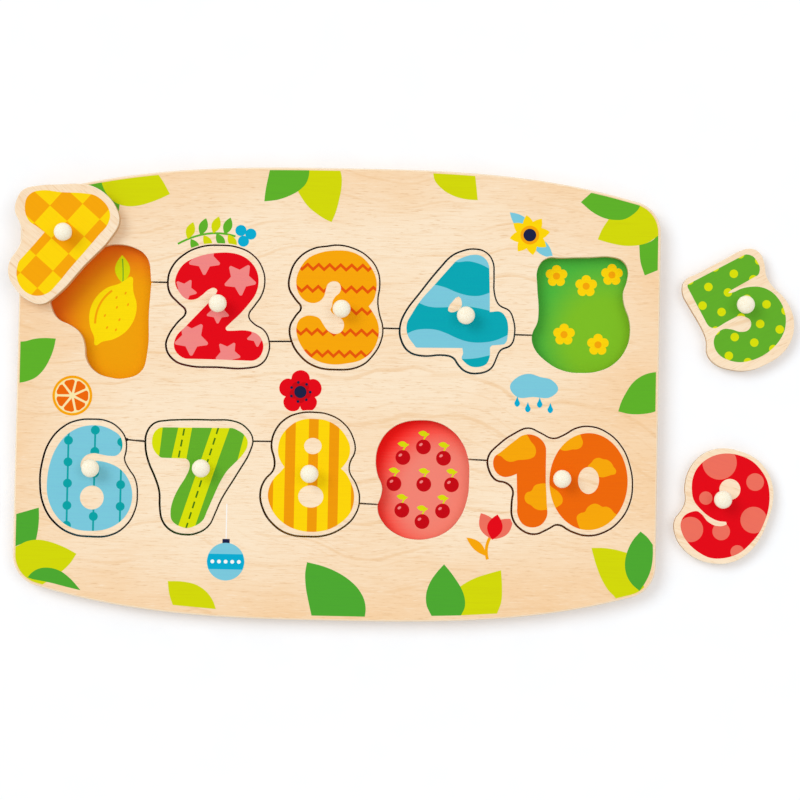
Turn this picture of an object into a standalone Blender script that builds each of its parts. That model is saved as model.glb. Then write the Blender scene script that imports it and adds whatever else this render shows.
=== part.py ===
"""Wooden number puzzle for small children.

A base sheet is glued under a top sheet that has ten shaped wells. Ten number tiles, cut out of the
top sheet with a fine saw kerf, drop into the wells. Each tile is lifted by a turned knob whose tenon
stands in a hole through the tile. Seven tiles are seated, one lies on the board and two lie beside it.

Units are metres. The origin is the centre of the board's underside, +X runs along the board's length
and +Z points up.
"""

import math

import bmesh
import bpy
from mathutils import Vector

MM = 0.001

# Sheets
SHEET_THICKNESS = 6.0 * MM
BASE_THICKNESS = 3.0 * MM
GLUE_LINE = 0.3 * MM
RIM_BEVEL = 0.8 * MM

# Board outline: margins round the wells, long edges that fall away towards rounded corners
SIDE_MARGIN = 11.4 * MM
LONG_EDGE_MARGIN = 36.3 * MM
EDGE_FALL = 17.0 * MM
EDGE_POWER = 2.9
CORNER_RADIUS = 15.0 * MM
EDGE_STEPS = 9
CORNER_STEPS = 5

# Tiles
KERF = 0.6 * MM
SEAT_GAP = 0.3 * MM
TILE_BEVEL = 0.35 * MM
OUTLINE_STEPS = 3

# Knobs
KNOB_HEIGHT = 9.8 * MM
HEAD_RADIUS = 4.2 * MM
HEAD_DEPTH = 6.0 * MM
NECK_RADIUS = 2.3 * MM
FOOT_HEIGHT = 1.2 * MM
SHOULDER = 1.5 * MM
TENON_RADIUS = 1.8 * MM
TENON_CLEARANCE = 0.3 * MM
KNOB_SEGMENTS = 18

# Heights that follow from the sheets
PANEL_FLOOR = BASE_THICKNESS + GLUE_LINE
BOARD_TOP = PANEL_FLOOR + SHEET_THICKNESS
WELL_SEAT = BASE_THICKNESS + SEAT_GAP

CUTTER_OVERRUN = 2.0 * MM

# Each tile: the centre of its well on the board, the place of its knob, and the line that the saw
# follows, clockwise from the top. Knob and line are counted from the well's centre. Millimetres.
TILES = {
    "1": {
        "well": (-112, 36),
        "knob": (5.5, 5.3),
        "line": [
            (8.5, 32), (16, 30.3), (20.8, 26.9), (22.9, 21.5), (22.7, 0), (22.2, -20), (19.8, -27),
            (13, -30.2), (5.5, -30), (-1.5, -27.3), (-5.6, -21.8), (-6.6, -15), (-8.8, -9.6),
            (-13.5, -5.8), (-19.3, -3), (-22.6, 2), (-23.3, 7.5), (-19.5, 13.5), (-12, 21),
            (-4, 28.3), (1.8, 31.2),
        ],
    },
    "2": {
        "well": (-56, 39),
        "knob": (-0.1, 1.9),
        "line": [
            (0, 29.7), (9, 28.6), (15.8, 25), (20, 19), (21.2, 12.5), (19.6, 6), (16.4, 1.2),
            (14, -3.3), (16.5, -6.9), (21.2, -9.8), (23.7, -14.5), (23.6, -20.5), (20.3, -25.8),
            (14, -27.8), (0, -27.7), (-15, -27), (-21, -24.5), (-24.6, -18.5), (-23.2, -12.5),
            (-19.5, -7), (-15.7, -1.8), (-19, 2), (-23.2, 6.5), (-24.4, 12.5), (-22.6, 19),
            (-17.5, 24.7), (-9.5, 28.7),
        ],
    },
    "3": {
        "well": (-1, 40),
        "knob": (2.8, -0.6),
        "line": [
            (0.5, 29.7), (7.5, 28.3), (14.5, 24.3), (19, 18.2), (20.2, 11.5), (19.4, 4), (20.2, -2),
            (22, -8.9), (21.3, -14.8), (17.8, -21.5), (11.8, -26.9), (0, -28.8), (-10, -27.2),
            (-17, -22), (-21, -15), (-21.6, -9), (-19, -3.8), (-16.6, 0), (-19.2, 3.8), (-22.3, 9),
            (-22, 15.5), (-18.8, 22.5), (-11.5, 27.8), (-5, 29.1),
        ],
    },
    "4": {
        "well": (56, 39),
        "knob": (3.8, -1.6),
        "line": [
            (7, 30), (12.3, 28.7), (15.8, 24.5), (16.6, 17), (16.9, 9.5), (19.2, 4), (24, 1.3),
            (25.9, -2.5), (26.7, -9.5), (25, -14.8), (20.3, -17.3), (18.2, -21.5), (15.8, -26),
            (10, -28.3), (4.2, -27.6), (0.8, -24.8), (-2, -21.2), (-6.5, -20.1), (-16, -20.6),
            (-22.5, -18.8), (-26.3, -13.5), (-27.1, -7.5), (-25.2, -1.3), (-18, 9), (-8.5, 21.2),
            (-3.5, 26.5), (1.5, 29),
        ],
    },
    "5": {
        "well": (114, 39),
        "knob": (3.0, 2.8),
        "line": [
            (-10, 26.3), (3, 26.8), (14.5, 27), (18.6, 25.3), (20.8, 21.5), (20.5, 16.5), (18.8, 10.7),
            (19.4, 5), (21.7, -1.5), (22.3, -8.5), (20.7, -15), (16.3, -21.3), (9.5, -25.4),
            (0, -26.8), (-8.5, -25.8), (-16.4, -21.5), (-21.8, -15.5), (-22.8, -10), (-20.4, -4),
            (-19.9, 2), (-20.8, 14), (-20.7, 21), (-17.2, 25.8),
        ],
    },
    "6": {
        "well": (-115, -42),
        "knob": (1.1, 4.8),
        "line": [
            (0, 27.9), (7.5, 27.2), (13.3, 23.8), (16.6, 18.7), (16.8, 13), (16.2, 9.5), (18.3, 5),
            (21.3, 0.5), (22.6, -7.5), (21.4, -15), (17.3, -21.8), (10.5, -26.2), (1, -27.1),
            (-8, -25.9), (-16, -20.9), (-21.3, -13), (-23.3, -3), (-22.5, 7.5), (-18.8, 17.8),
            (-12, 24.8), (-6, 27.3),
        ],
    },
    "7": {
        "well": (-63, -41),
        "knob": (0.8, 4.8),
        "line": [
            (-10, 27.4), (4, 27.6), (16, 27), (21.2, 24), (24.1, 19.2), (23.3, 14), (17.5, 3.1),
            (9.8, -10), (7.2, -16.2), (4.3, -22), (-1, -25.5), (-7, -26.3), (-13, -24.7),
            (-17.3, -20.3), (-18.8, -14), (-19.2, -6.5), (-21.3, 0), (-24.6, 7.5), (-26.2, 15),
            (-25.5, 21.5), (-22, 25.7), (-17, 26.9),
        ],
    },
    "8": {
        "well": (-12, -38),
        "knob": (0.4, 0.2),
        "line": [
            (1.5, 29.1), (9, 28), (16, 23.8), (20.3, 17), (21.1, 11), (18.9, 5.8), (18.8, 1.5),
            (21.9, -4), (23.7, -11), (21.5, -19), (15.5, -25), (8, -28.4), (0, -29.1), (-9.5, -28),
            (-17, -23.2), (-21.7, -16), (-22.8, -8.5), (-20.7, -2.8), (-17, 1.7), (-16.5, 6),
            (-18.1, 13), (-16.5, 20), (-11.5, 25.9), (-5, 28.6),
        ],
    },
    "9": {
        "well": (41, -40),
        "knob": (-2.5, 3.4),
        "line": [
            (-2, 28), (5, 27.5), (11.8, 24.5), (17.6, 18.5), (20.7, 11), (21.4, 2), (20.5, -8.5),
            (16.8, -17.6), (10.8, -23.6), (3.5, -26.5), (-4, -27), (-11.8, -24.7), (-18.3, -19),
            (-20.5, -12.5), (-19, -7.5), (-18.6, -3), (-20.9, 3), (-21.7, 10.5), (-19.8, 17.8),
            (-14.8, 24), (-9, 27),
        ],
    },
    "10": {
        "well": (105, -39),
        "knob": (0.9, 1.1),
        "line": [
            (13.5, 25.9), (21.5, 23.3), (28.5, 16.8), (32.5, 8), (33.9, -1.5), (32.6, -10),
            (28.2, -17.8), (21.3, -23.2), (13, -25.1), (5.5, -23.2), (-0.8, -20.3), (-5, -22.3),
            (-11.5, -24.9), (-18, -22.6), (-21.8, -17.5), (-22.3, -10), (-22, -4.3), (-25, -1.3),
            (-29.8, 0), (-33.3, 5), (-33.6, 10.8), (-29, 16.5), (-21.5, 22), (-15, 24.6),
            (-9.5, 22.5), (-3.5, 20), (1.5, 21.7), (7, 24.9),
        ],
    },
}

# The saw passes from well to well along straight slits. Each slit runs from a point just inside the
# left well to a point just inside the right one, counted from their centres. Millimetres.
SLITS = [
    ("1", (21.5, 14.8), "2", (-23.0, 11.8)),
    ("2", (22.0, -15.1), "3", (-20.0, -15.9)),
    ("3", (20.5, -8.9), "4", (-26.0, -8.0)),
    ("4", (25.5, -9.8), "5", (-21.8, -10.0)),
    ("6", (15.5, 18.8), "7", (-25.0, 16.8)),
    ("7", (23.0, 18.0), "8", (-16.8, 15.1)),
    ("8", (22.3, -13.0), "9", (-19.2, -11.5)),
    ("9", (19.8, 10.5), "10", (-32.6, 9.1)),
]

# Loose tiles: the place of the outline's centre, counted from the tile's own well or from the
# board's right edge, with the turn in degrees anticlockwise.
LYING_ON_BOARD = {"1": {"from_well": (-24.0, 36.1), "turn": -40.7}}
LYING_BESIDE = {
    "5": {"from_edge": (38.3, 41.1), "turn": 26.7},
    "9": {"from_edge": (31.9, -50.0), "turn": -17.8},
}

WOOD_PALE = (0.91, 0.76, 0.56)
WOOD_BASE = (0.84, 0.66, 0.46)
WOOD_TILE = (0.93, 0.80, 0.63)
WOOD_KNOB = (0.96, 0.90, 0.78)


def clear_scene():
    for obj in list(bpy.context.scene.objects):
        bpy.data.objects.remove(obj, do_unlink=True)


def new_collection(name):
    collection = bpy.data.collections.new(name)
    bpy.context.scene.collection.children.link(collection)
    return collection


def principled(name, colour, roughness):
    material = bpy.data.materials.new(name)
    material.use_nodes = True
    shader = material.node_tree.nodes["Principled BSDF"]
    shader.inputs["Base Color"].default_value = (*colour, 1.0)
    shader.inputs["Roughness"].default_value = roughness
    shader.inputs["Metallic"].default_value = 0.0
    return material


def in_metres(point):
    return Vector((point[0] * MM, point[1] * MM))


def outline_curve(name, points, thickness, offset=0.0, smooth=True):
    """A flat 2D curve through the points, closed, filled and extruded to the thickness."""
    curve = bpy.data.curves.new(name, "CURVE")
    curve.dimensions = "2D"
    curve.fill_mode = "BOTH"
    curve.extrude = thickness / 2
    curve.offset = offset
    curve.resolution_u = OUTLINE_STEPS
    spline = curve.splines.new("BEZIER" if smooth else "POLY")
    knots = spline.bezier_points if smooth else spline.points
    knots.add(len(points) - 1)
    for knot, point in zip(knots, points):
        knot.co = (point.x, point.y, 0.0) if smooth else (point.x, point.y, 0.0, 1.0)
    if smooth:
        for knot in knots:
            knot.handle_left_type = "AUTO"
            knot.handle_right_type = "AUTO"
    spline.use_cyclic_u = True
    return bpy.data.objects.new(name, curve)


def plate_from_curve(curve_object, collection):
    """The closed mesh plate of a filled curve, standing on its own local z = 0."""
    name = curve_object.name
    half = curve_object.data.extrude
    curve_object.name = name + "_outline"
    collection.objects.link(curve_object)
    bpy.context.view_layer.update()
    evaluated = curve_object.evaluated_get(bpy.context.evaluated_depsgraph_get())
    mesh = bpy.data.meshes.new_from_object(evaluated)
    mesh.name = name
    curve = curve_object.data
    bpy.data.objects.remove(curve_object, do_unlink=True)
    bpy.data.curves.remove(curve)

    shape = bmesh.new()
    shape.from_mesh(mesh)
    bmesh.ops.remove_doubles(shape, verts=shape.verts, dist=0.01 * MM)
    bmesh.ops.translate(shape, verts=shape.verts, vec=(0, 0, half))
    bmesh.ops.recalc_face_normals(shape, faces=shape.faces)
    join_flat_sides(shape)
    shape.to_mesh(mesh)
    shape.free()
    mesh.shade_smooth()
    mesh.set_sharp_from_angle(angle=math.radians(40))

    plate = bpy.data.objects.new(name, mesh)
    collection.objects.link(plate)
    return plate


def join_flat_sides(shape):
    """Make one face of each flat side, so that no thin triangle holds back a bevel on its rim."""
    for side in (1, -1):
        flat = [face for face in shape.faces if face.normal.z * side > 0.9]
        bmesh.ops.dissolve_faces(shape, faces=flat)


def bevel_rims(plate, width, top=True, bottom=True):
    """Break the sharp rims of a plate with a one-step bevel on the chosen sides."""
    mesh = plate.data
    height = max(vertex.co.z for vertex in mesh.vertices)
    shape = bmesh.new()
    shape.from_mesh(mesh)
    weight = shape.edges.layers.float.new("bevel_weight_edge")
    for edge in shape.edges:
        on_top = all(vertex.co.z > height / 2 for vertex in edge.verts)
        on_bottom = all(vertex.co.z < height / 2 for vertex in edge.verts)
        is_rim = edge.calc_face_angle(0.0) > math.radians(60)
        if is_rim and ((top and on_top) or (bottom and on_bottom)):
            edge[weight] = 1.0
    shape.to_mesh(mesh)
    shape.free()
    bevel = plate.modifiers.new("rim", "BEVEL")
    bevel.limit_method = "WEIGHT"
    bevel.width = width
    bevel.segments = 1


def cut(target, cutter):
    boolean = target.modifiers.new(cutter.name, "BOOLEAN")
    boolean.operation = "DIFFERENCE"
    boolean.solver = "EXACT"
    boolean.object = cutter


def as_cutter(obj):
    obj.hide_render = True
    obj.display_type = "WIRE"
    return obj


def board_half_sizes():
    """Half length and half width of the board: the farthest well line plus the margins."""
    reach_x = 0.0
    reach_y = 0.0
    for tile in TILES.values():
        well = in_metres(tile["well"])
        for point in tile["line"]:
            place = well + in_metres(point)
            reach_x = max(reach_x, abs(place.x))
            reach_y = max(reach_y, abs(place.y))
    return reach_x + SIDE_MARGIN, reach_y + LONG_EDGE_MARGIN


def long_edge(x, half_length, half_width):
    """A point of the bowed long edge, and the outward normal there."""
    share = x / half_length
    y = half_width - EDGE_FALL * share ** EDGE_POWER
    slope = -EDGE_FALL * EDGE_POWER / half_length * share ** (EDGE_POWER - 1)
    return Vector((x, y)), Vector((-slope, 1)).normalized()


def board_quarter(half_length, half_width):
    """The outline from the middle of the long edge to the middle of the short one."""
    low = 0.5 * half_length
    high = half_length
    for _ in range(40):
        middle = (low + high) / 2
        point, normal = long_edge(middle, half_length, half_width)
        if point.x - CORNER_RADIUS * normal.x > half_length - CORNER_RADIUS:
            high = middle
        else:
            low = middle
    tangent_point, normal = long_edge(low, half_length, half_width)
    centre = tangent_point - CORNER_RADIUS * normal
    start_angle = math.atan2(normal.y, normal.x)

    points = [long_edge(tangent_point.x * i / EDGE_STEPS, half_length, half_width)[0]
              for i in range(EDGE_STEPS)]
    for i in range(CORNER_STEPS + 1):
        angle = start_angle * (1 - i / CORNER_STEPS)
        points.append(centre + CORNER_RADIUS * Vector((math.cos(angle), math.sin(angle))))
    return points


def board_outline():
    """The whole outline, clockwise from the middle of the far long edge."""
    quarter = board_quarter(*board_half_sizes())
    right = quarter + [Vector((p.x, -p.y)) for p in reversed(quarter)]
    left = [Vector((-p.x, p.y)) for p in reversed(right)]
    return right + left[1:-1]


def tile_line(number):
    return [in_metres(point) for point in TILES[number]["line"]]


def make_slit(number, left_end, next_number, right_end, collection):
    """A cutter one kerf wide that joins two neighbouring wells."""
    start = in_metres(TILES[number]["well"]) + in_metres(left_end)
    end = in_metres(TILES[next_number]["well"]) + in_metres(right_end)
    along = end - start
    middle = (start + end) / 2
    bpy.ops.mesh.primitive_cube_add(size=1)
    slit = bpy.context.object
    slit.name = f"slit_{number}_{next_number}"
    slit.scale = (along.length, KERF, SHEET_THICKNESS + 2 * CUTTER_OVERRUN)
    slit.rotation_euler.z = math.atan2(along.y, along.x)
    slit.location = (middle.x, middle.y, PANEL_FLOOR + SHEET_THICKNESS / 2)
    move_to(slit, collection)
    return as_cutter(slit)


def move_to(obj, collection):
    for owner in list(obj.users_collection):
        owner.objects.unlink(obj)
    collection.objects.link(obj)


def make_board(parts, cutters):
    """The base sheet, and the top sheet with its wells and slits."""
    outline = board_outline()
    base = plate_from_curve(outline_curve("base_panel", outline, BASE_THICKNESS, smooth=False), parts)
    bevel_rims(base, RIM_BEVEL, top=False)
    base.data.materials.append(principled("base_wood", WOOD_BASE, 0.62))

    panel = plate_from_curve(outline_curve("top_panel", outline, SHEET_THICKNESS, smooth=False), parts)
    panel.location.z = PANEL_FLOOR
    bevel_rims(panel, RIM_BEVEL, bottom=False)
    panel.data.materials.append(principled("panel_wood", WOOD_PALE, 0.55))

    for number, tile in TILES.items():
        depth = SHEET_THICKNESS + 2 * CUTTER_OVERRUN
        well_curve = outline_curve(f"well_{number}", tile_line(number), depth, offset=KERF / 2)
        well = as_cutter(plate_from_curve(well_curve, cutters))
        well.location = (*in_metres(tile["well"]), PANEL_FLOOR - CUTTER_OVERRUN)
        cut(panel, well)
    for slit in SLITS:
        cut(panel, make_slit(*slit, cutters))


def tile_placement(number):
    """Location and turn of a tile at rest: seated, lying on the board or lying beside it."""
    well = in_metres(TILES[number]["well"])
    if number in LYING_ON_BOARD:
        pose = LYING_ON_BOARD[number]
        place = well + in_metres(pose["from_well"])
        return (place.x, place.y, BOARD_TOP + SEAT_GAP), math.radians(pose["turn"])
    if number in LYING_BESIDE:
        pose = LYING_BESIDE[number]
        offset = in_metres(pose["from_edge"])
        half_length, _ = board_half_sizes()
        return (half_length + offset.x, offset.y, 0.0), math.radians(pose["turn"])
    return (well.x, well.y, WELL_SEAT), 0.0


def make_tile(number, parts, cutters):
    """A number tile with its knob hole, standing on its own underside."""
    curve = outline_curve(f"tile_{number}", tile_line(number), SHEET_THICKNESS, offset=-KERF / 2)
    tile = plate_from_curve(curve, parts)
    bevel_rims(tile, TILE_BEVEL)
    tile.data.materials.append(principled(f"tile_{number}_wood", WOOD_TILE, 0.5))
    tile.location, tile.rotation_euler.z = tile_placement(number)

    bpy.ops.mesh.primitive_cylinder_add(
        vertices=KNOB_SEGMENTS,
        radius=TENON_RADIUS + TENON_CLEARANCE,
        depth=SHEET_THICKNESS + 2 * CUTTER_OVERRUN,
    )
    hole = bpy.context.object
    hole.name = f"knob_hole_{number}"
    hole.location = (*in_metres(TILES[number]["knob"]), SHEET_THICKNESS / 2)
    move_to(hole, cutters)
    hole.parent = tile
    cut(tile, as_cutter(hole))
    return tile


def knob_profile():
    """Radius and height of the turned knob, from the crown down to the end of its tenon."""
    foot_radius = TENON_RADIUS + SHOULDER
    head_half = HEAD_DEPTH / 2
    head_middle = KNOB_HEIGHT - head_half
    neck_angle = math.asin(min(NECK_RADIUS / HEAD_RADIUS, 0.95))
    profile = [(0.0, KNOB_HEIGHT)]
    for degrees in (25, 50, 70, 90, 110, 130):
        angle = math.radians(degrees)
        if angle < math.pi - neck_angle:
            profile.append((HEAD_RADIUS * math.sin(angle), head_middle + head_half * math.cos(angle)))
    profile.append((NECK_RADIUS, head_middle - head_half * math.cos(neck_angle)))
    profile.append((NECK_RADIUS, FOOT_HEIGHT + 0.4 * MM))
    profile.append((foot_radius, FOOT_HEIGHT))
    profile.append((foot_radius, SEAT_GAP))
    profile.append((TENON_RADIUS, SEAT_GAP))
    profile.append((TENON_RADIUS, SEAT_GAP - SHEET_THICKNESS))
    profile.append((0.0, SEAT_GAP - SHEET_THICKNESS))
    return profile


def make_knob(number, tile, parts):
    """A turned knob that stands on its tile, with the tenon in the tile's hole."""
    profile = knob_profile()
    mesh = bpy.data.meshes.new(f"knob_{number}")
    edges = [(i, i + 1) for i in range(len(profile) - 1)]
    mesh.from_pydata([(radius, 0.0, height) for radius, height in profile], edges, [])
    knob = bpy.data.objects.new(f"knob_{number}", mesh)
    parts.objects.link(knob)
    screw = knob.modifiers.new("turned", "SCREW")
    screw.axis = "Z"
    screw.steps = KNOB_SEGMENTS
    screw.render_steps = KNOB_SEGMENTS
    screw.use_merge_vertices = True
    screw.merge_threshold = 0.01 * MM
    screw.use_smooth_shade = True
    mesh.materials.append(principled(f"knob_{number}_wood", WOOD_KNOB, 0.4))
    knob.parent = tile
    knob.location = (*in_metres(TILES[number]["knob"]), SHEET_THICKNESS)
    return knob


def main():
    clear_scene()
    parts = new_collection("wooden_number_puzzle")
    cutters = new_collection("cutters")
    make_board(parts, cutters)
    for number in TILES:
        tile = make_tile(number, parts, cutters)
        make_knob(number, tile, parts)


main()
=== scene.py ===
"""Wooden number puzzle: the looks of the toy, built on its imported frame.

Outlines are in millimetres. A tile's print is counted from the centre of the tile's own well, and
what is printed on the board from the centre of the board, with +Y towards the top of the picture.
Objects are in metres.
"""

import functools
import math

import bmesh
import bpy
from mathutils import Matrix, Vector
from mathutils.geometry import delaunay_2d_cdt, tessellate_polygon


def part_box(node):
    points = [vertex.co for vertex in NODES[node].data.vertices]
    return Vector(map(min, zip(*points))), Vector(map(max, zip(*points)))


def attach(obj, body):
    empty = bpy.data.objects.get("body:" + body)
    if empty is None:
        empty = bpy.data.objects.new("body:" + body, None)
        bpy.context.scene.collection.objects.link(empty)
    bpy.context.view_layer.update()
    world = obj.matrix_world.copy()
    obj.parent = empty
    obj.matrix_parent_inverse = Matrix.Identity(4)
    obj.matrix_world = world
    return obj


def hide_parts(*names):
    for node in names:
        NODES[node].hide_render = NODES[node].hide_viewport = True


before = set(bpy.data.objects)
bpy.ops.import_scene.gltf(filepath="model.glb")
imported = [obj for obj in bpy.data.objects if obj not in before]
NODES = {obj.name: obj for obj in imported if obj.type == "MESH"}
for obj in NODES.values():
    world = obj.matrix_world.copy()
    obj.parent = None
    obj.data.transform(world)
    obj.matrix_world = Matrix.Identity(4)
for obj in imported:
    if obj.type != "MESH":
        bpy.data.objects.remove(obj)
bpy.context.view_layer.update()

MM = 0.001

# Heights of the sheets, read from the frame, in metres
BASE_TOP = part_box("base_panel")[1][2]
PANEL_BOTTOM, PANEL_TOP = (corner[2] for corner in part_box("top_panel"))

# Rounded rims, in millimetres
OUTER_RIM = 0.8
GLUED_RIM = 0.15
WELL_RIM = 0.25
WELL_FOOT_RIM = 0.1
TILE_RIM = 0.35
HOLE_RIM = 0.1
RIM_STEPS = 4

# A tile is drawn in by this much, and each cut in the board is widened by that much
FIT = 0.1
SLIT_FIT = 0.05
# Turns by more than so many degrees stay corners of an outline, or sharp edges of a plate
CAD_CORNER = 45
PLATE_SHARP_TURN = 35

# Plies of wood in each sheet
PLIES = 3.0

# Printed ink: its thickness, how far the ground of a well floor runs on under the board, and the bare
# margins along the edge of the board, round each well, and between well 6 and the dark disc painted as shade
# of the saw's start hole
INK_THICKNESS = 0.03
FLOOR_OVERLAP = 0.9
PRINT_MARGIN = 1.3
WELL_MARGIN = 1.2
START_HOLE_MARGIN = 0.3

# How far a tile lies off the middle of its well
LEAN = (0.11, 0.07)

# Centres of the wells on the board, and the tiles that lie loose: place and turn in degrees
WELLS = {
    "1": (-112, 36), "2": (-56, 39), "3": (-1, 40), "4": (56, 39), "5": (114, 39),
    "6": (-115, -42), "7": (-63, -41), "8": (-12, -38), "9": (41, -40), "10": (105, -39),
}
LOOSE = {
    "1": ((-136.0, 72.1), -40.7),
    "5": ((188.6, 41.1), 26.7),
    "9": ((182.2, -50.0), -17.8),
}

# Marks a point of an outline where it turns sharply
SHARP = "sharp"


# Colours

def srgb(red, green, blue):
    """A colour as a picture shows it, from 0 to 255, in the shader's linear values."""
    def linear(value):
        share = value / 255
        return share / 12.92 if share <= 0.04045 else ((share + 0.055) / 1.055) ** 2.4
    return (linear(red), linear(green), linear(blue), 1.0)


BIRCH_PALE = srgb(252, 230, 200)
BIRCH_PEACH = srgb(247, 209, 164)
BIRCH_LINE = srgb(238, 195, 144)
BIRCH_FLECK = srgb(226, 182, 134)
BIRCH_GLINT = srgb(255, 238, 214)
# Painted highlight of the rounded rims
BIRCH_RIM_HIGHLIGHT = srgb(250, 234, 208)
BIRCH_CROSS_PLY = srgb(200, 158, 114)
GLUE_BROWN = srgb(150, 104, 62)
# Walls round the open wells: pale wood, darkened towards the foot as painted shade
OPEN_WALL = srgb(246, 220, 180)
OPEN_WALL_SHADED_FOOT = srgb(234, 198, 150)
PLY_LONG = srgb(228, 194, 152)
# Walls of the narrow cuts: a scorched brown darkened as painted shade of the narrow gap, and darker still
# towards the foot as painted shade
SCORCHED_AND_SHADED_CUT_TOP = srgb(78, 54, 38)
SCORCHED_AND_SHADED_CUT_FOOT = srgb(62, 43, 30)
KNOB_PALE = srgb(255, 251, 232)
KNOB_DEEP = srgb(249, 234, 202)
WHITE = srgb(255, 255, 255)

INKS = {
    "bright_yellow": (252, 224, 0), "yellow": (253, 214, 0), "amber": (247, 167, 0),
    "deep_amber": (240, 155, 0), "orange": (238, 104, 0), "deep_orange": (230, 85, 0),
    "red": (228, 0, 18), "deep_red": (196, 0, 14), "pink": (241, 136, 132), "salmon": (238, 112, 92),
    "teal": (0, 167, 179), "deep_teal": (0, 162, 164), "pale_blue": (122, 201, 219),
    "sky": (122, 201, 219), "blue": (0, 172, 208), "navy": (24, 30, 66), "green": (98, 174, 40),
    "leaf_green": (94, 177, 38), "deep_leaf": (76, 168, 46), "olive": (72, 122, 12),
    "lime": (210, 216, 0), "lemon": (216, 224, 0), "cream": (250, 232, 170),
    # The last ink is painted shade: the dark of the saw's start hole beside well 6
    "white": (250, 250, 246), "hole_shade": (26, 18, 12),
}


# Lines and shapes on a flat sheet

def turned(x, y, degrees):
    cos = math.cos(math.radians(degrees))
    sin = math.sin(math.radians(degrees))
    return cos * x - sin * y, sin * x + cos * y


def moved(points, place, degrees=0.0):
    """The points turned about the origin and then moved to a place."""
    result = []
    for point in points:
        x, y = turned(point[0], point[1], degrees)
        result.append((x + place[0], y + place[1], *point[2:]))
    return result


def tangent(back, ahead, straight=2.5):
    """The direction of a smooth line at a point; a long straight stretch keeps its own."""
    if back.length > straight * ahead.length:
        return back.normalized()
    if ahead.length > straight * back.length:
        return ahead.normalized()
    return (back.normalized() * ahead.length + ahead.normalized() * back.length).normalized()


def with_neighbours(line):
    """Each item of a closed line between the one before and the one after it."""
    return zip(line[-1:] + line[:-1], line, line[1:] + line[:1])


def smooth_line(points, steps=5, corner=180.0):
    """A closed smooth line through the points, with corners at the SHARP ones and at turns of more
    than the corner angle in degrees."""
    spots = [Vector(point[:2]) for point in points]
    arriving = []
    leaving = []
    for point, (before, spot, after) in zip(points, with_neighbours(spots)):
        back = spot - before
        ahead = after - spot
        if len(point) > 2 or back.angle(ahead) > math.radians(corner):
            arriving.append(back.normalized())
            leaving.append(ahead.normalized())
        else:
            arriving.append(tangent(back, ahead))
            leaving.append(arriving[-1])
    line = []
    for i, start in enumerate(spots):
        following = (i + 1) % len(spots)
        end = spots[following]
        reach = (end - start).length
        for step in range(steps):
            t = step / steps
            a = 2 * t ** 3 - 3 * t ** 2 + 1
            b = t ** 3 - 2 * t ** 2 + t
            c = 3 * t ** 2 - 2 * t ** 3
            d = t ** 3 - t ** 2
            spot = a * start + b * reach * leaving[i] + c * end + d * reach * arriving[following]
            line.append(tuple(spot))
    return line


def signed_area(line):
    return sum(x * next_y - next_x * y for _, (x, y), (next_x, next_y) in with_neighbours(line)) / 2


def anticlockwise(line):
    return line if signed_area(line) > 0 else line[::-1]


def moved_left(line, depth):
    """The closed line moved to its own left, which is inwards for an anticlockwise one."""
    result = []
    for before, here, after in with_neighbours([Vector(point) for point in line]):
        back = (here - before).normalized()
        ahead = (after - here).normalized()
        along = (back + ahead).normalized()
        # A sharp corner moves at most twice as far as its sides do
        stretch = 1.0 / max(along.dot(back), 0.5)
        result.append(tuple(here + along.orthogonal() * depth * stretch))
    return result


def disc(x, y, radius, count=28):
    return oval(x, y, radius, radius, count=count)


def oval(x, y, half_x, half_y, turn=0.0, count=36):
    line = []
    for i in range(count):
        angle = 2 * math.pi * i / count
        line.append((half_x * math.cos(angle), half_y * math.sin(angle)))
    return moved(line, (x, y), turn)


def rounded_star(x, y, radius, turn):
    """A star of five blunt points, the first one at the turn."""
    blunt = 0.09 * radius
    line = []
    for i in range(5):
        angle = turn + 72 * i
        line += [turned(radius, -blunt, angle), turned(radius, blunt, angle)]
        line.append((*turned(0.6 * radius, 0, angle + 36), SHARP))
    return moved(smooth_line(line, 4), (x, y))


def blossom(x, y, radius, petals, turn=90.0):
    """One closed line round a flower of round petals, with notches between them."""
    count = 96
    notch = 0.35
    line = []
    for i in range(count):
        angle = 2 * math.pi * i / count
        swell = abs(math.cos(petals * angle / 2)) ** 0.55
        reach = radius * (1 - notch + notch * swell)
        line.append((reach * math.cos(angle), reach * math.sin(angle)))
    return moved(line, (x, y), turn)


def leaf(start, end, left, right):
    """A leaf between two tips, bulging by so much to the left and to the right of its midrib."""
    count = 10
    start = Vector(start)
    along = Vector(end) - start
    across = along.orthogonal().normalized()
    sides = []
    for bulge in (left, -right):
        side = []
        for i in range(count + 1):
            t = i / count
            side.append(tuple(start + along * t + across * bulge * math.sin(math.pi * t) ** 0.9))
        sides.append(side)
    return sides[0] + sides[1][-2:0:-1]


def stroke(start, bend, end, width, count=14):
    """A line of a width along a simple curve."""
    start, bend, end = Vector(start), Vector(bend), Vector(end)
    left = []
    right = []
    for i in range(count + 1):
        t = i / count
        spot = start * (1 - t) ** 2 + bend * 2 * t * (1 - t) + end * t ** 2
        along = ((bend - start) * (1 - t) + (end - bend) * t).normalized()
        across = along.orthogonal() * width / 2
        left.append(tuple(spot + across))
        right.append(tuple(spot - across))
    return left + right[::-1]


def box_shape(x0, y0, x1, y1):
    return [(x0, y0), (x1, y0), (x1, y1), (x0, y1)]


# Outlines of the CAD solids

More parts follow.
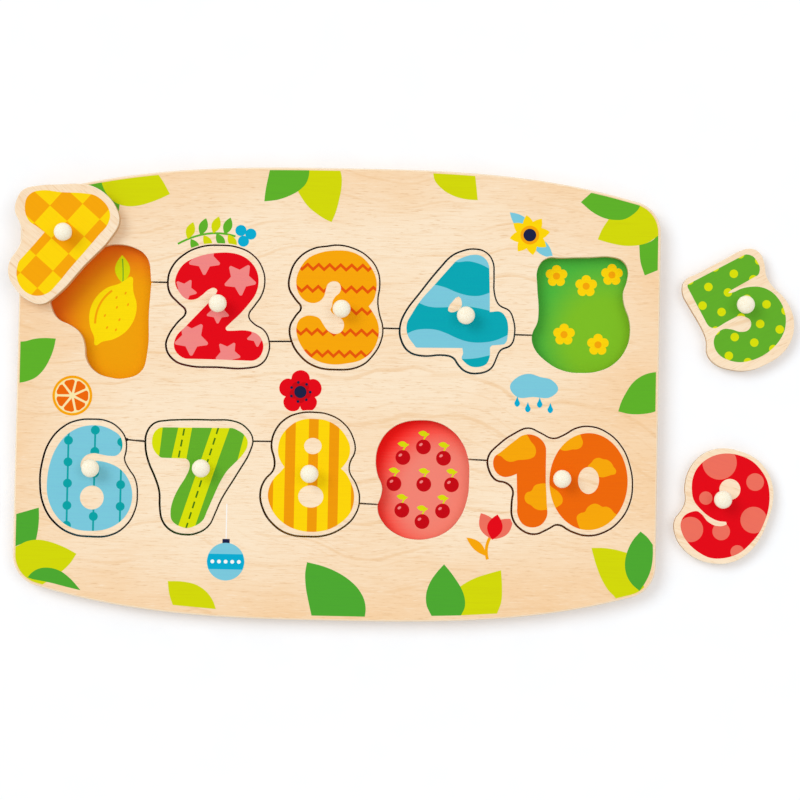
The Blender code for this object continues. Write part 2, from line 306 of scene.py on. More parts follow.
def rims_at(node_name, level):
    """The closed lines in millimetres where a CAD solid's surface turns at a height in metres."""
    level_reach = 5e-6
    least_turn = math.radians(20)
    shape = bmesh.new()
    shape.from_mesh(NODES[node_name].data)
    bmesh.ops.remove_doubles(shape, verts=shape.verts, dist=1e-6)
    neighbours = {}
    for edge in shape.edges:
        flat = all(abs(vertex.co.z - level) < level_reach for vertex in edge.verts)
        if flat and edge.calc_face_angle(0.0) > least_turn:
            first, second = edge.verts
            neighbours.setdefault(first, []).append(second)
            neighbours.setdefault(second, []).append(first)
    lines = []
    while neighbours:
        line = [next(iter(neighbours))]
        while True:
            onward = [vertex for vertex in neighbours.pop(line[-1]) if vertex in neighbours]
            if not onward:
                break
            line.append(onward[0])
        lines.append([(vertex.co.x / MM, vertex.co.y / MM) for vertex in line])
    shape.free()
    return sorted(lines, key=lambda line: -abs(signed_area(line)))


def rim_level(node_name):
    """The height where a sheet's bevelled top rim meets its wall, in metres."""
    heights = sorted({round(vertex.co.z, 6) for vertex in NODES[node_name].data.vertices})
    return heights[-2]


def tile_place(number):
    """Where a tile's own origin lies, in millimetres, and its turn in degrees."""
    return LOOSE.get(number, (WELLS[number], 0.0))


def on_tile(mesh, number, height):
    """Turns a mesh as its tile lies and gives the place for its object."""
    (x, y), degrees = tile_place(number)
    mesh.transform(Matrix.Rotation(math.radians(degrees), 4, "Z"))
    return Matrix.Translation((x * MM, y * MM, height))


@functools.cache
def tile_outline(number):
    """The tile's edge, counted from its own origin."""
    line = rims_at(f"tile_{number}", rim_level(f"tile_{number}"))[0]
    (place_x, place_y), degrees = tile_place(number)
    own = [turned(x - place_x, y - place_y, -degrees) for x, y in line]
    return anticlockwise(smooth_line(own, 2, CAD_CORNER))


def grown_outline(number, margin):
    """The tile's edge with a margin all round it."""
    return moved_left(tile_outline(number), -margin)


# Meshes

def in_scene(name, data):
    obj = bpy.data.objects.new(name, data)
    bpy.context.scene.collection.objects.link(obj)
    return obj


def new_object(mesh, body, matrix=Matrix()):
    """A piece of the toy with its mesh's name, which moves with a body."""
    obj = in_scene(mesh.name, mesh)
    obj.matrix_world = matrix
    bpy.context.view_layer.update()
    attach(obj, body)
    return obj


def mesh_of(shape, name):
    """A mesh of the shape, with its faces turned outwards."""
    bmesh.ops.recalc_face_normals(shape, faces=shape.faces)
    mesh = bpy.data.meshes.new(name)
    shape.to_mesh(mesh)
    shape.free()
    return mesh


def rim_profile(thickness, low_rim, high_rim):
    """Depth and height of a plate's edge from the underside up, with rounded rims."""
    angles = [math.pi / 2 * i / RIM_STEPS for i in range(RIM_STEPS + 1)]
    low = [(low_rim * (1 - math.sin(a)), low_rim * (1 - math.cos(a))) for a in angles]
    return low + [(high_rim * (1 - math.cos(a)), thickness - high_rim * (1 - math.sin(a))) for a in angles]


def plate_mesh(name, edges, thickness):
    """A plate with rounded rims, standing on z = 0. Each edge is (line, low rim, high rim, function
    that gives the material slot of its wall at a point), the outer one first."""
    vertices = []
    faces = []
    slots = []
    caps = ([], [])
    cap_ids = ([], [])
    for index, (line, low_rim, high_rim, wall_slot) in enumerate(edges):
        line = anticlockwise(line)
        if index > 0:
            line = line[::-1]
        rings = []
        for depth, height in rim_profile(thickness, low_rim, high_rim):
            first = len(vertices)
            vertices += [(x * MM, y * MM, height * MM) for x, y in moved_left(line, depth)]
            rings.append(range(first, len(vertices)))
        for cap, ids, ring in zip(caps, cap_ids, (rings[0], rings[-1])):
            cap.append([Vector(vertices[i]) for i in ring])
            ids.extend(ring)
        for level, (low, high) in enumerate(zip(rings, rings[1:])):
            for i, point in enumerate(line):
                following = (i + 1) % len(line)
                faces.append((low[i], low[following], high[following], high[i]))
                slots.append(wall_slot(*point) if level == RIM_STEPS else 0)
    wall_count = len(faces)
    for cap, ids in zip(caps, cap_ids):
        faces += [tuple(ids[i] for i in triangle) for triangle in tessellate_polygon(cap)]
    slots += [0] * (len(faces) - wall_count)

    mesh = bpy.data.meshes.new(name)
    mesh.from_pydata(vertices, [], faces)
    mesh.polygons.foreach_set("material_index", slots)
    shape = bmesh.new()
    shape.from_mesh(mesh)
    bmesh.ops.recalc_face_normals(shape, faces=shape.faces)
    shape.faces.ensure_lookup_table()
    for face in shape.faces:
        face.smooth = face.index < wall_count
    for edge in shape.edges:
        on_cap = {face.index >= wall_count for face in edge.link_faces}
        edge.smooth = len(on_cap) == 1 and edge.calc_face_angle(0.0) < math.radians(PLATE_SHARP_TURN)
    shape.to_mesh(mesh)
    shape.free()
    return mesh


def painted_mesh(name, paint, inside, bare=(), turn=0.0):
    """A thin layer of ink. Paint is a list of (line, ink name) from the first coat to the last. Ink
    lies inside one of the inside lines and in none of the bare ones. The turn is that of the grain."""
    lines = [line for line, _ in paint] + list(inside) + list(bare)
    first_inside = len(paint)
    first_bare = first_inside + len(inside)
    points = []
    outlines = []
    for line in lines:
        first = len(points)
        points += [Vector(point) for point in anticlockwise(line)]
        outlines.append(list(range(first, len(points))))
    spots, _, faces, _, _, owners = delaunay_2d_cdt(points, [], outlines, 0, 1e-4, True)

    inks = list(dict.fromkeys(ink_name for _, ink_name in paint))
    shape = bmesh.new()
    vertices = [shape.verts.new((x * MM, y * MM, INK_THICKNESS * MM)) for x, y in spots]
    for face, owner in zip(faces, owners):
        coats = [index for index in owner if index < first_inside]
        is_inside = any(first_inside <= index < first_bare for index in owner)
        is_bare = any(index >= first_bare for index in owner)
        if coats and is_inside and not is_bare:
            painted = shape.faces.new([vertices[i] for i in face])
            painted.material_index = inks.index(paint[max(coats)][1])
    bmesh.ops.delete(shape, geom=[v for v in shape.verts if not v.link_faces], context="VERTS")
    low = {}
    for edge in [edge for edge in shape.edges if edge.is_boundary]:
        loop = edge.link_loops[0]
        ends = (loop.link_loop_next.vert, loop.vert)
        for vertex in ends:
            if vertex not in low:
                low[vertex] = shape.verts.new((vertex.co.x, vertex.co.y, 0.0))
        side = shape.faces.new((*ends, low[ends[1]], low[ends[0]]))
        side.material_index = loop.face.material_index
    mesh = mesh_of(shape, name)
    for ink_name in inks:
        mesh.materials.append(ink(ink_name, turn))
    return mesh


# Node helpers

def feed(node, inputs):
    """Sets a node's inputs, each to a plain value or to another node's output."""
    for name, value in inputs.items():
        if isinstance(value, bpy.types.NodeSocket):
            node.id_data.links.new(value, node.inputs[name])
        else:
            node.inputs[name].default_value = value


def put(tree, kind, inputs, **settings):
    """Adds a shader node."""
    node = tree.nodes.new("ShaderNode" + kind)
    for name, value in settings.items():
        setattr(node, name, value)
    feed(node, inputs)
    return node


def mixed(tree, factor, first, second):
    return put(tree, "Mix", {0: factor, 6: first, 7: second}, data_type="RGBA").outputs[2]


def sums(tree, operation, first, second=0.0, third=0.0):
    return put(tree, "Math", {0: first, 1: second, 2: third}, operation=operation).outputs[0]


def vectors(tree, operation, first, second=(0.0, 0.0, 0.0)):
    return put(tree, "VectorMath", {0: first, 1: second}, operation=operation)


def between(tree, value, low, high, low_result=0.0, high_result=1.0, kind="SMOOTHSTEP"):
    """The value carried from one range to another, smoothly unless the kind is LINEAR."""
    inputs = {"Value": value, "From Min": low, "From Max": high, "To Min": low_result, "To Max": high_result}
    return put(tree, "MapRange", inputs, interpolation_type=kind).outputs["Result"]


def part(tree, place, axis):
    return put(tree, "SeparateXYZ", {0: place}).outputs[axis]


def noise(tree, place, stretch, detail=3.0, roughness=0.55):
    """Noise from 0 to 1 with so many cells to the millimetre along each axis."""
    scaled = vectors(tree, "MULTIPLY", place, stretch).outputs[0]
    inputs = {"Vector": scaled, "Scale": 1.0, "Detail": detail, "Roughness": roughness}
    return put(tree, "TexNoise", inputs).outputs["Fac"]


def millimetres(tree, offset=(0.0, 0.0, 0.0), turn=0.0):
    """The place on the object in millimetres, turned back by its turn in degrees and moved."""
    place = put(tree, "TexCoord", {}).outputs["Object"]
    rotation = (0.0, 0.0, -math.radians(turn))
    inputs = {"Vector": place, "Location": offset, "Rotation": rotation, "Scale": (1 / MM, 1 / MM, 1 / MM)}
    return put(tree, "Mapping", inputs).outputs["Vector"]


def facing(tree):
    """How far the surface looks up or down, from 0 for a wall to 1 for a flat top."""
    return sums(tree, "ABSOLUTE", part(tree, put(tree, "TexCoord", {}).outputs["Normal"], "Z"))


def new_material(name):
    material = bpy.data.materials.new(name)
    material.use_nodes = True
    return material, material.node_tree


def surface(tree, colour, roughness, specular, relief, depth):
    """Gives the shader its colour, roughness and gloss, and relief of a depth in millimetres."""
    bump = put(tree, "Bump", {"Height": relief, "Distance": depth * MM, "Strength": 0.6})
    inputs = {"Base Color": colour, "Roughness": roughness, "Specular IOR Level": specular}
    feed(tree.nodes["Principled BSDF"], {**inputs, "Normal": bump.outputs["Normal"]})


# Wood

def birch_figure(tree, place):
    """Streaks, growth lines and flecks of rotary birch, each from 0 to 1, with the grain along X."""
    streaks = noise(tree, place, (0.06, 1.3, 1.3), detail=4.0, roughness=0.6)

    # The growth lines follow a strongly swaying height, in a broad period and a thin one
    sway = noise(tree, place, (0.009, 0.006, 0.02), roughness=0.35)
    sway_reach = 95.0
    broad_period = 15.0
    thin_period = 5.2
    across = sums(tree, "MULTIPLY_ADD", sway, sway_reach, part(tree, place, "Y"))
    across = sums(tree, "MULTIPLY_ADD", streaks, 1.6, across)
    broad = sums(tree, "SINE", sums(tree, "MULTIPLY", across, 2 * math.pi / broad_period))
    thin = sums(tree, "SINE", sums(tree, "MULTIPLY", across, 2 * math.pi / thin_period))
    crests = between(tree, broad, 0.93, 1.0)
    crests = sums(tree, "MULTIPLY_ADD", between(tree, thin, 0.84, 1.0), 0.45, crests)
    presence = between(tree, noise(tree, place, (0.018, 0.05, 0.05)), 0.40, 0.58)
    lines = sums(tree, "MULTIPLY", crests, presence)

    flecks = noise(tree, place, (0.2, 2.4, 2.4), detail=2.5)
    return streaks, lines, flecks


def birch_tone_and_edge_shade(tree, place):
    """How deep the sheet's colour is, from 0 to 1: deeper in broad random patches of tone, and towards the
    board's edges as painted shade.
    """
    half_length = 160.0
    half_width = 114.0
    middle_y = 7.0
    # Painted shade: the colour deepens towards the edges of the board
    far_x = sums(tree, "DIVIDE", sums(tree, "ABSOLUTE", part(tree, place, "X")), half_length)
    far_y = sums(tree, "SUBTRACT", part(tree, place, "Y"), middle_y)
    far_y = sums(tree, "DIVIDE", sums(tree, "ABSOLUTE", far_y), half_width)
    far = sums(tree, "SMOOTH_MAX", far_x, far_y, 0.3)
    patches = noise(tree, place, (0.012, 0.030, 0.030))
    patches = between(tree, patches, 0.30, 0.72, -0.2, 0.35)
    return sums(tree, "ADD", between(tree, far, 0.55, 1.04, 0.0, 0.85), patches)


def birch_colour(tree, place, streaks, lines, flecks, depth):
    tone = sums(tree, "MULTIPLY", birch_tone_and_edge_shade(tree, place), depth)
    tone = put(tree, "Clamp", {0: tone}).outputs[0]
    colour = mixed(tree, tone, BIRCH_PALE, BIRCH_PEACH)
    colour = mixed(tree, between(tree, streaks, 0.45, 0.75, 0.0, 0.38), colour, BIRCH_LINE)
    colour = mixed(tree, sums(tree, "MULTIPLY", lines, 0.45), colour, BIRCH_LINE)
    colour = mixed(tree, between(tree, flecks, 0.58, 0.72, 0.0, 0.62), colour, BIRCH_FLECK)
    return mixed(tree, between(tree, flecks, 0.44, 0.25, 0.0, 0.5), colour, BIRCH_GLINT)


def ply_colour(tree, place, thickness):
    """The edge of a plywood sheet: plies of long and cross grain with thin dark glue lines."""
    level = between(tree, part(tree, place, "Z"), 0.0, thickness, 0.0, PLIES, "LINEAR")
    within = sums(tree, "FRACT", level)
    is_cross = sums(tree, "GREATER_THAN", sums(tree, "MODULO", level, 2.0), 1.0)
    fibres = noise(tree, place, (0.5, 0.5, 5.0))
    ends = noise(tree, place, (5.0, 5.0, 5.0), detail=2.0)
    long_grain = mixed(tree, fibres, BIRCH_LINE, PLY_LONG)
    cross_grain = mixed(tree, ends, PLY_LONG, BIRCH_CROSS_PLY)
    colour = mixed(tree, is_cross, long_grain, cross_grain)
    to_edge = sums(tree, "MINIMUM", within, sums(tree, "SUBTRACT", 1.0, within))
    return mixed(tree, between(tree, to_edge, 0.0, 0.05, 0.6, 0.0), colour, GLUE_BROWN)


def birch(name, thickness, offset=(0.0, 0.0, 0.0), turn=0.0, browning=0.0, depth=1.0):
    """Sanded birch plywood. The offset carries the figure on from tile to board, browning is how far the
    edge is mixed towards the dark colour of the narrow cuts, which is partly a scorched brown and partly
    painted shade, and depth how strongly the colour deepens off the middle as painted shade towards the
    edges."""
    material, tree = new_material(name)
    place = millimetres(tree, offset, turn)
    streaks, lines, flecks = birch_figure(tree, place)
    colour = birch_colour(tree, place, streaks, lines, flecks, depth)
    upness = facing(tree)
    # Painted highlight: the rounded rims turn paler where the surface tilts off the flat top
    rim = between(tree, upness, 0.999, 0.93)
    colour = mixed(tree, sums(tree, "MULTIPLY", rim, 0.8), colour, BIRCH_RIM_HIGHLIGHT)
    # The edge is mixed towards the dark colour of the narrow cuts, a scorched brown with painted shade
    edge_colour = mixed(tree, browning, ply_colour(tree, millimetres(tree), thickness), SCORCHED_AND_SHADED_CUT_TOP)
    colour = mixed(tree, between(tree, upness, 0.45, 0.2), colour, edge_colour)
    roughness = between(tree, streaks, 0.3, 0.75, 0.46, 0.6)
    surface(tree, colour, roughness, 0.12, sums(tree, "MULTIPLY_ADD", flecks, -0.6, streaks), 0.03)
    return material


def cut_wall_with_painted_shade(name, thickness, top, deep):
    """The wall of a saw cut, with painted shade that darkens it towards its foot."""
    material, tree = new_material(name)
    place = millimetres(tree)
    marks = noise(tree, place, (3.5, 3.5, 0.25))
    colour = mixed(tree, between(tree, part(tree, place, "Z"), thickness, 0.0), top, deep)
    colour = mixed(tree, sums(tree, "MULTIPLY", marks, 0.12), colour, GLUE_BROWN)
    surface(tree, colour, between(tree, marks, 0.3, 0.7, 0.62, 0.82), 0.05, marks, 0.08)
    return material


def knob_wood(name, offset):
    """Turned and waxed beech, with the grain upright."""
    material, tree = new_material(name)
    place = millimetres(tree, offset)
    fibres = noise(tree, place, (1.6, 1.6, 0.12), detail=4.0)
    flecks = between(tree, noise(tree, place, (4.0, 4.0, 0.5), detail=1.0), 0.62, 0.75)
    rings = sums(tree, "SINE", sums(tree, "MULTIPLY", part(tree, place, "Z"), 14.0))
    colour = mixed(tree, between(tree, fibres, 0.35, 0.75), KNOB_PALE, KNOB_DEEP)
    colour = mixed(tree, sums(tree, "MULTIPLY", flecks, 0.3), colour, BIRCH_CROSS_PLY)
    roughness = between(tree, fibres, 0.3, 0.7, 0.34, 0.48)
    surface(tree, colour, roughness, 0.12, sums(tree, "MULTIPLY_ADD", rings, 0.1, fibres), 0.02)
    return material


# Ink

@functools.cache
def ink(name, turn):
    """The ink of a name in INKS or FLOORS, with the turn of the grain under it."""
    if name in FLOORS:
        return ink_with_painted_shade(name, *FLOORS[name])
    return even_ink(name, turn)


def ink_grain(tree, place):
    """Streaks of the wood under the ink, and its stipple, each from 0 to 1."""
    streaks = noise(tree, place, (0.05, 1.5, 1.5), detail=4.0)
    return streaks, noise(tree, place, (2.6, 2.6, 2.6), detail=2.0)


def even_ink(name, turn):
    """Silk-screen ink on birch: an even coat in which the grain shows faintly."""
    material, tree = new_material(f"ink_{name}_{turn:.0f}")
    red, green, blue = INKS[name]
    # A thin coat lets a little of the wood through
    thin = srgb(red * 0.985, green * 0.97, blue + (205 - blue) * 0.012)
    streaks, stipple = ink_grain(tree, millimetres(tree, turn=turn))
    coat = between(tree, sums(tree, "MULTIPLY_ADD", stipple, 0.3, streaks), 0.55, 0.95)
    roughness = between(tree, stipple, 0.3, 0.7, 0.36, 0.5)
    relief = sums(tree, "MULTIPLY_ADD", stipple, 0.4, streaks)
    surface(tree, mixed(tree, coat, srgb(red, green, blue), thin), roughness, 0.05, relief, 0.02)
    return material


def ink_with_painted_shade(name, light, deep, centre, reach, clear=0.45):
    """Ink of a well floor with painted shade: lighter round a centre, it runs to a deeper colour at the
    reach, partly the printed ground and partly painted shadow of the well's walls.
    """
    material, tree = new_material(f"ink_{name}")
    place = millimetres(tree)
    from_centre = vectors(tree, "SUBTRACT", place, (*centre, 0.0)).outputs[0]
    ratio = vectors(tree, "MULTIPLY", from_centre, (1 / reach[0], 1 / reach[1], 0.0)).outputs[0]
    distance = vectors(tree, "LENGTH", ratio).outputs["Value"]
    streaks, stipple = ink_grain(tree, place)
    # Painted shadow of the well's walls: the colour deepens away from the centre
    shade = between(tree, sums(tree, "MULTIPLY_ADD", streaks, 0.1, distance), clear, 1.05)
    colour = mixed(tree, shade, srgb(*light), srgb(*deep))
    colour = mixed(tree, sums(tree, "MULTIPLY", stipple, 0.12), colour, srgb(*deep))
    surface(tree, colour, between(tree, stipple, 0.3, 0.7, 0.4, 0.54), 0.05, streaks, 0.02)
    return material


# The digits, each as the outlines of its ink. Points run clockwise from the top.

OUTLINES = {
    "1": [[
        (-2, 28), (2, 27.7), (6, 25.5), (8, 22), (8.6, 15), (9.3, 5), (9.8, -5), (10.6, -15), (10.6, -20),
        (8.8, -24), (5, -27), (0, -27.7), (-5, -25.8), (-8.5, -22), (-9.8, -19), (-10.2, -8),
        (-10.6, -1.5, SHARP), (-16, -2.2), (-19, -2.8), (-22.5, -1.8), (-26, 1), (-28, 4.5), (-27.8, 8),
        (-25.5, 11.5), (-18, 17.5), (-10, 24.5), (-6, 27.2),
    ]],
    "2": [[
        (0, 26.2), (5, 26.2), (10, 25), (14.5, 22), (17.3, 18), (18.3, 12.5), (17, 7), (14, 2.5),
        (9.5, -2.8), (6.3, -5.9), (3.5, -8.7), (3.5, -9.9), (5.8, -10.4), (14.5, -10.4), (18.5, -12),
        (21, -16), (20.8, -20), (18.5, -23.3), (15.5, -24.3), (0, -24), (-14.5, -23.9), (-18, -22.5),
        (-20.7, -18.5), (-20, -14), (-15.3, -8.6), (-9, -1.8), (-5.2, 2.3), (-3, 4.8), (-1.5, 7),
        (-1.1, 8.6), (-2.5, 9.6), (-5, 8.8), (-8, 6.2), (-11, 4.2), (-15, 4), (-19, 7.5), (-20.9, 12),
        (-20, 16), (-16.5, 21), (-12, 23.5), (-5, 25.6),
    ]],
    "3": [[
        (0, 27.2), (6, 26.8), (12, 24), (16, 19.5), (18.5, 14), (18.6, 9), (17.5, 4.5),
        (15.2, 1.2, SHARP), (17, -1.3), (19.5, -6), (20.2, -10), (19.5, -15), (17, -20), (12, -24),
        (5, -25.8), (-1, -26.3), (-7, -25.3), (-12, -22.7), (-15.5, -18.7), (-18, -13.5), (-18.5, -9.5),
        (-17, -5.5), (-14, -3.8), (-11, -3.7), (-8, -4.7), (-6, -7.5), (-3.5, -10.7), (-0.5, -12),
        (2.5, -11), (3.8, -8), (3, -5.3), (1, -3.8), (-1.5, -2.5), (-2.6, -0.8), (-1.9, 1.2), (-1.8, 3),
        (-0.5, 5.5), (1.5, 7.5), (2, 10), (0.5, 12.3), (-1.5, 12.7), (-4, 11.5), (-5, 9), (-5.8, 5.7),
        (-7.5, 3.5), (-10.5, 2.3), (-14, 3), (-17, 5.5), (-18.8, 10), (-19, 13), (-17.5, 18), (-14, 23),
        (-8, 26),
    ]],
    "4": [[
        (6, 27.2), (10, 27), (13.2, 24.5), (14.3, 21), (14.7, 10), (14.9, 0.6, SHARP), (20.3, 0.6),
        (22.8, -2.5), (23.6, -6), (23.5, -10), (22.7, -13.5), (21.5, -14.5), (16.5, -15),
        (15.3, -16, SHARP), (15.1, -21), (13.8, -23.7), (10.5, -25.2), (6.5, -25), (3.5, -23),
        (2.2, -21.3), (2.8, -19), (2.4, -16.5, SHARP), (-18.8, -16.7), (-20.5, -15), (-23.5, -10.3),
        (-23.6, -5), (-21.5, -1), (-18.3, 4.3), (-11, 13), (-2, 23.5), (2, 26),
    ]],
    "5": [[
        (-15, 22.3), (14.5, 22.4), (17.3, 20.8), (18.6, 17), (18, 13.2), (15.5, 11), (2, 10.6),
        (-0.3, 10, SHARP), (1.5, 9.3), (6, 9), (10, 7.9), (15, 5), (18, 1), (19.2, -3), (19.3, -8.5),
        (18, -13), (14.5, -18), (9, -21.5), (3, -23.2), (-4, -23.2), (-10, -21.5), (-14, -18.7),
        (-17.5, -13.5), (-17.8, -10), (-16.5, -6.5), (-13.5, -4.3), (-10, -4), (-7, -5.7), (-3.5, -8.9),
        (0, -9.7), (2, -8.5), (2.9, -6), (1.5, -3.5), (-0.5, -2), (-5, -1.6), (-12.5, -2), (-15, -0.5),
        (-15.8, 2), (-15.9, 20.5),
    ]],
    "6": [[
        (0, 25), (5, 24.8), (10, 23), (14, 20), (15, 17.3), (14.8, 14), (12.5, 11.2), (9, 10.9),
        (5, 11.5), (2, 12), (-2, 10.8), (-4.3, 7), (-4, 5), (-2, 6.3), (2.5, 8.4), (5, 8.3), (9, 7.4),
        (14, 5), (18, 0.5), (20, -5), (20, -10.5), (18, -16), (14, -20.5), (8, -23.5), (1, -24.4),
        (-6, -23.7), (-12, -20.8), (-17, -15), (-19.5, -8.5), (-19.9, -1), (-18.7, 7), (-16, 14),
        (-11, 20.5), (-5, 24),
    ]],
    "7": [[
        (-18.5, 23.7), (14, 24), (17, 23), (20, 21), (21.8, 18), (21.5, 15), (19.5, 11.5), (15.5, 7.2),
        (12.5, 4), (9.5, -1), (6, -9), (3.5, -15), (1.5, -19.5), (-1.5, -21.8), (-5, -23.1),
        (-9.5, -22.3), (-13, -19.5), (-13.6, -15.5), (-12.8, -11), (-10, -4.5), (-7, 0.5), (-5.2, 5),
        (-5.4, 7.8), (-6.5, 9), (-7.5, 9.3), (-18, 9.5), (-20.5, 11), (-22.7, 14.5), (-23, 18),
        (-21.5, 22),
    ]],
    "8": [[
        (2, 26), (7, 25.5), (12, 23.2), (16.5, 18.5), (18.7, 13.5), (18.5, 9), (16.8, 5.5),
        (14.8, 3, SHARP), (16.5, 1.5), (19.3, -3), (21, -8), (21.1, -12), (19.5, -17.5), (15.5, -22),
        (10, -25.3), (4, -26.7), (-2, -26.6), (-8, -25), (-14, -21), (-17.8, -15.5), (-19.2, -10.5),
        (-18.3, -5.5), (-16, -1.5), (-13.5, 1), (-11.7, 3.2, SHARP), (-13.3, 5.5), (-14.7, 9),
        (-14.8, 13), (-13.3, 18), (-10.5, 21.5), (-6.5, 24.5), (-2, 25.9),
    ]],
    "9": [[
        (0, 25.2), (6, 24.5), (11, 22), (15.5, 18), (18.5, 12.5), (20.2, 6), (20.4, 0), (19.7, -6),
        (17.5, -12), (14, -18), (9, -22), (2, -24.5), (-4, -23.8), (-10, -21.3), (-14, -18),
        (-16.3, -13.5), (-16, -10.5), (-13.5, -7.3), (-10.5, -5.9), (-8.5, -6.5), (-4.5, -8.9),
        (-0.5, -9.5), (3, -8.3), (4.2, -7.2, SHARP), (3.5, -6.2, SHARP), (0, -7), (-4, -6.6), (-9, -4.8),
        (-14, -1.5), (-16.5, 3), (-17.7, 8), (-17.3, 13), (-15.5, 17), (-12, 21), (-6, 24.3),
    ]],
    "10": [
        [
            (-17, 21.4), (-13, 21.5), (-9.5, 19.8), (-7, 16.5), (-6.6, 14), (-6.5, 0), (-5.9, -10),
            (-5.9, -17), (-8.5, -20.5), (-12.5, -21.7), (-16.5, -20.5), (-19.2, -16.5), (-19.6, -10),
            (-20.1, 3.2, SHARP), (-23, 2), (-26, 1.6), (-29.5, 3.5), (-31.2, 7.5), (-30.5, 11), (-28, 13),
            (-22, 18),
        ],
        oval(13.4, 0.2, 18.2, 22.6, count=56),
    ],
}

# The holes in the digits
HOLES = {
    "4": [[(0.3, 7.6), (1.8, 5), (1.7, 3), (-1.5, 0.3), (-4.5, 0.7), (-4.5, 2.2), (-2.5, 5.3)]],
    "6": [disc(1.3, -8.8, 5.6)],
    "8": [oval(1.4, 13.3, 4.1, 3.8), oval(0.9, -10.3, 5.9, 5.2)],
    "9": [disc(0.3, 8.7, 4.9)],
    "10": [oval(13.4, 0.7, 4.9, 6.3)],
}

# The digits that are printed off their own centre: place and turn in degrees
PRINT_PLACES = {"1": ((8.74, 0.3), -2.3), "5": ((-0.62, 1.43), 1.8), "9": ((-0.8, 0.45), -0.2)}

# Clouds on the ten
CLOUDS = [
    [
        (-29.5, 12), (-25, 16.5), (-20.5, 19.7), (-17, 22.5), (-15, 20.5), (-13.8, 18.5), (-11.8, 16),
        (-11.3, 13.5), (-12, 11.5), (-14, 10.3), (-17, 9.8), (-20, 9.5), (-22, 8.8), (-24, 8.8),
        (-26, 9.8), (-27.5, 11.2),
    ],
    [
        (-13.4, -4.8), (-11.5, -2), (-9, -1.2), (-5, -1.5), (-3.5, -2.8), (-1.5, -4), (0.5, -6),
        (1.5, -8), (1.2, -10.2), (-0.8, -11.8), (-3, -13), (-6, -13.3), (-9, -13.6), (-11.5, -12.8),
        (-13, -11.5), (-15.5, -10), (-16.3, -8), (-15.3, -5.5),
    ],
    [
        (-1.5, 16.5), (3, 21), (8, 24), (9.8, 20.5), (10.5, 18.5), (9.8, 16.3), (8, 15.2), (5.5, 15),
        (3.5, 14.5), (1.5, 14.4),
    ],
    [
        (12.8, 7), (14.5, 9), (16, 10.8), (18, 11.4), (20, 10.8), (22, 10.5), (24, 9), (25, 7.3),
        (26.2, 5.5), (25.8, 4), (24, 3.5), (22, 2.8), (20, 2.3), (18, 2.5), (15, 3), (13, 5),
    ],
    [
        (8.3, -16), (8.6, -19), (10, -22), (13, -24.5), (17, -25), (22, -23), (27, -20), (28, -16),
        (25.5, -14), (24, -12.3), (22, -11.3), (20, -11.4), (18.5, -10.5), (16.5, -10), (14.5, -10.7),
        (13, -12), (11.8, -14), (10, -14.5),
    ],
]


# Patterns printed over the digits. Each returns lines to paint, or (line, ink) pairs.

def checks():
    """Squares on the one, tilted a little against the digit."""
    side = 10.85
    gap = 0.02
    squares = []
    for i in range(-1, 4):
        for j in range(-4, 3):
            if (i + j) % 2 == 0:
                square = box_shape(i * side, j * side, (i + 1) * side - gap, (j + 1) * side - gap)
                squares.append(moved(square, (-17.55, 9.25), 2.0))
    return squares


def stars():
    places = [
        (9.6, 13.9, 7.4, -86), (-7.3, 23.2, 7.3, -90), (-16.2, 8.1, 5.4, -83), (-12.6, -14.3, 7.8, -90),
        (4.6, -21.3, 5.8, -85), (18.4, -12.6, 4.9, -90), (-0.5, -1.7, 5.2, -90),
    ]
    return [rounded_star(*place) for place in places]


def zigzags():
    """Five zigzag lines across the three."""
    period = 5.17
    swing = 1.2
    half_height = 0.86
    bands = []
    for middle, first in ((19.3, -3), (9.0, -3), (-1.2, 6), (-11.2, -3), (-21.3, -3)):
        turns = [(-13.8 + period / 2 * k, middle + swing * (-1) ** k) for k in range(first, 15)]
        top = [(x, y + half_height) for x, y in turns]
        bottom = [(x, y - half_height) for x, y in turns]
        bands.append(top + bottom[::-1])
    return bands


def waves():
    """Three broad water bands on the four."""
    bands = [
        [(-12, 31), (16, 31), (16, 20), (10, 23), (5, 24.2), (-2, 23.8)],
        [
            (-13, 12.8), (-7, 12), (0, 9.3), (5, 8.1), (10, 8.1), (16.5, 10.4), (16.5, 0.8), (9, 2.4),
            (4, 2.9), (-9, 2.3), (-14, 2.7), (-20, 5),
        ],
        [
            (-25.5, -11.3), (-20, -8.6), (-15, -7.9), (-10, -8.2), (-5, -9.8), (0, -12), (5, -13.5),
            (11, -13.8), (17, -12.9), (25.5, -9), (25.5, -17), (15.6, -19.6), (8, -21.3), (0, -21.5),
            (-24, -19),
        ],
    ]
    return [smooth_line(band, 4, 60) for band in bands]


def dots():
    """Two interlaced grids of dots on the five."""
    pitch_x = 13.4
    pitch_y = 13.25
    grid = []
    for k in range(-1, 4):
        for j in range(-3, 3):
            for x, y in ((-13.7, 10.3), (-7.2, 16.8)):
                grid.append(disc(x + pitch_x * k, y + pitch_y * j, 2.0))
    return grid


def beads():
    """Three strings of beads on the six."""
    half_string = 0.45
    strings = [
        (-10.3, (17.8, 7.7, -2.3, -12.7, -22.0)),
        (2.2, (22.8, 12.8, 2.6, -7.5, -17.6)),
        (14.7, (17.5, 7.6, -2.5, -12.7, -22.6)),
    ]
    lines = []
    for x, heights in strings:
        lines.append(box_shape(x - half_string, -28, x + half_string, 28))
        lines += [disc(x, y, 2.1) for y in heights]
    return lines


def dashes(start, end):
    """The dashes of a road's middle line."""
    period = 5.21
    length = 3.3
    width = 0.8
    along = Vector(end) - Vector(start)
    step = along.normalized()
    lines = []
    for i in range(int(along.length / period)):
        first = Vector(start) + step * period * i
        last = first + step * length
        lines.append(stroke(first, (first + last) / 2, last, width, count=1))
    return lines


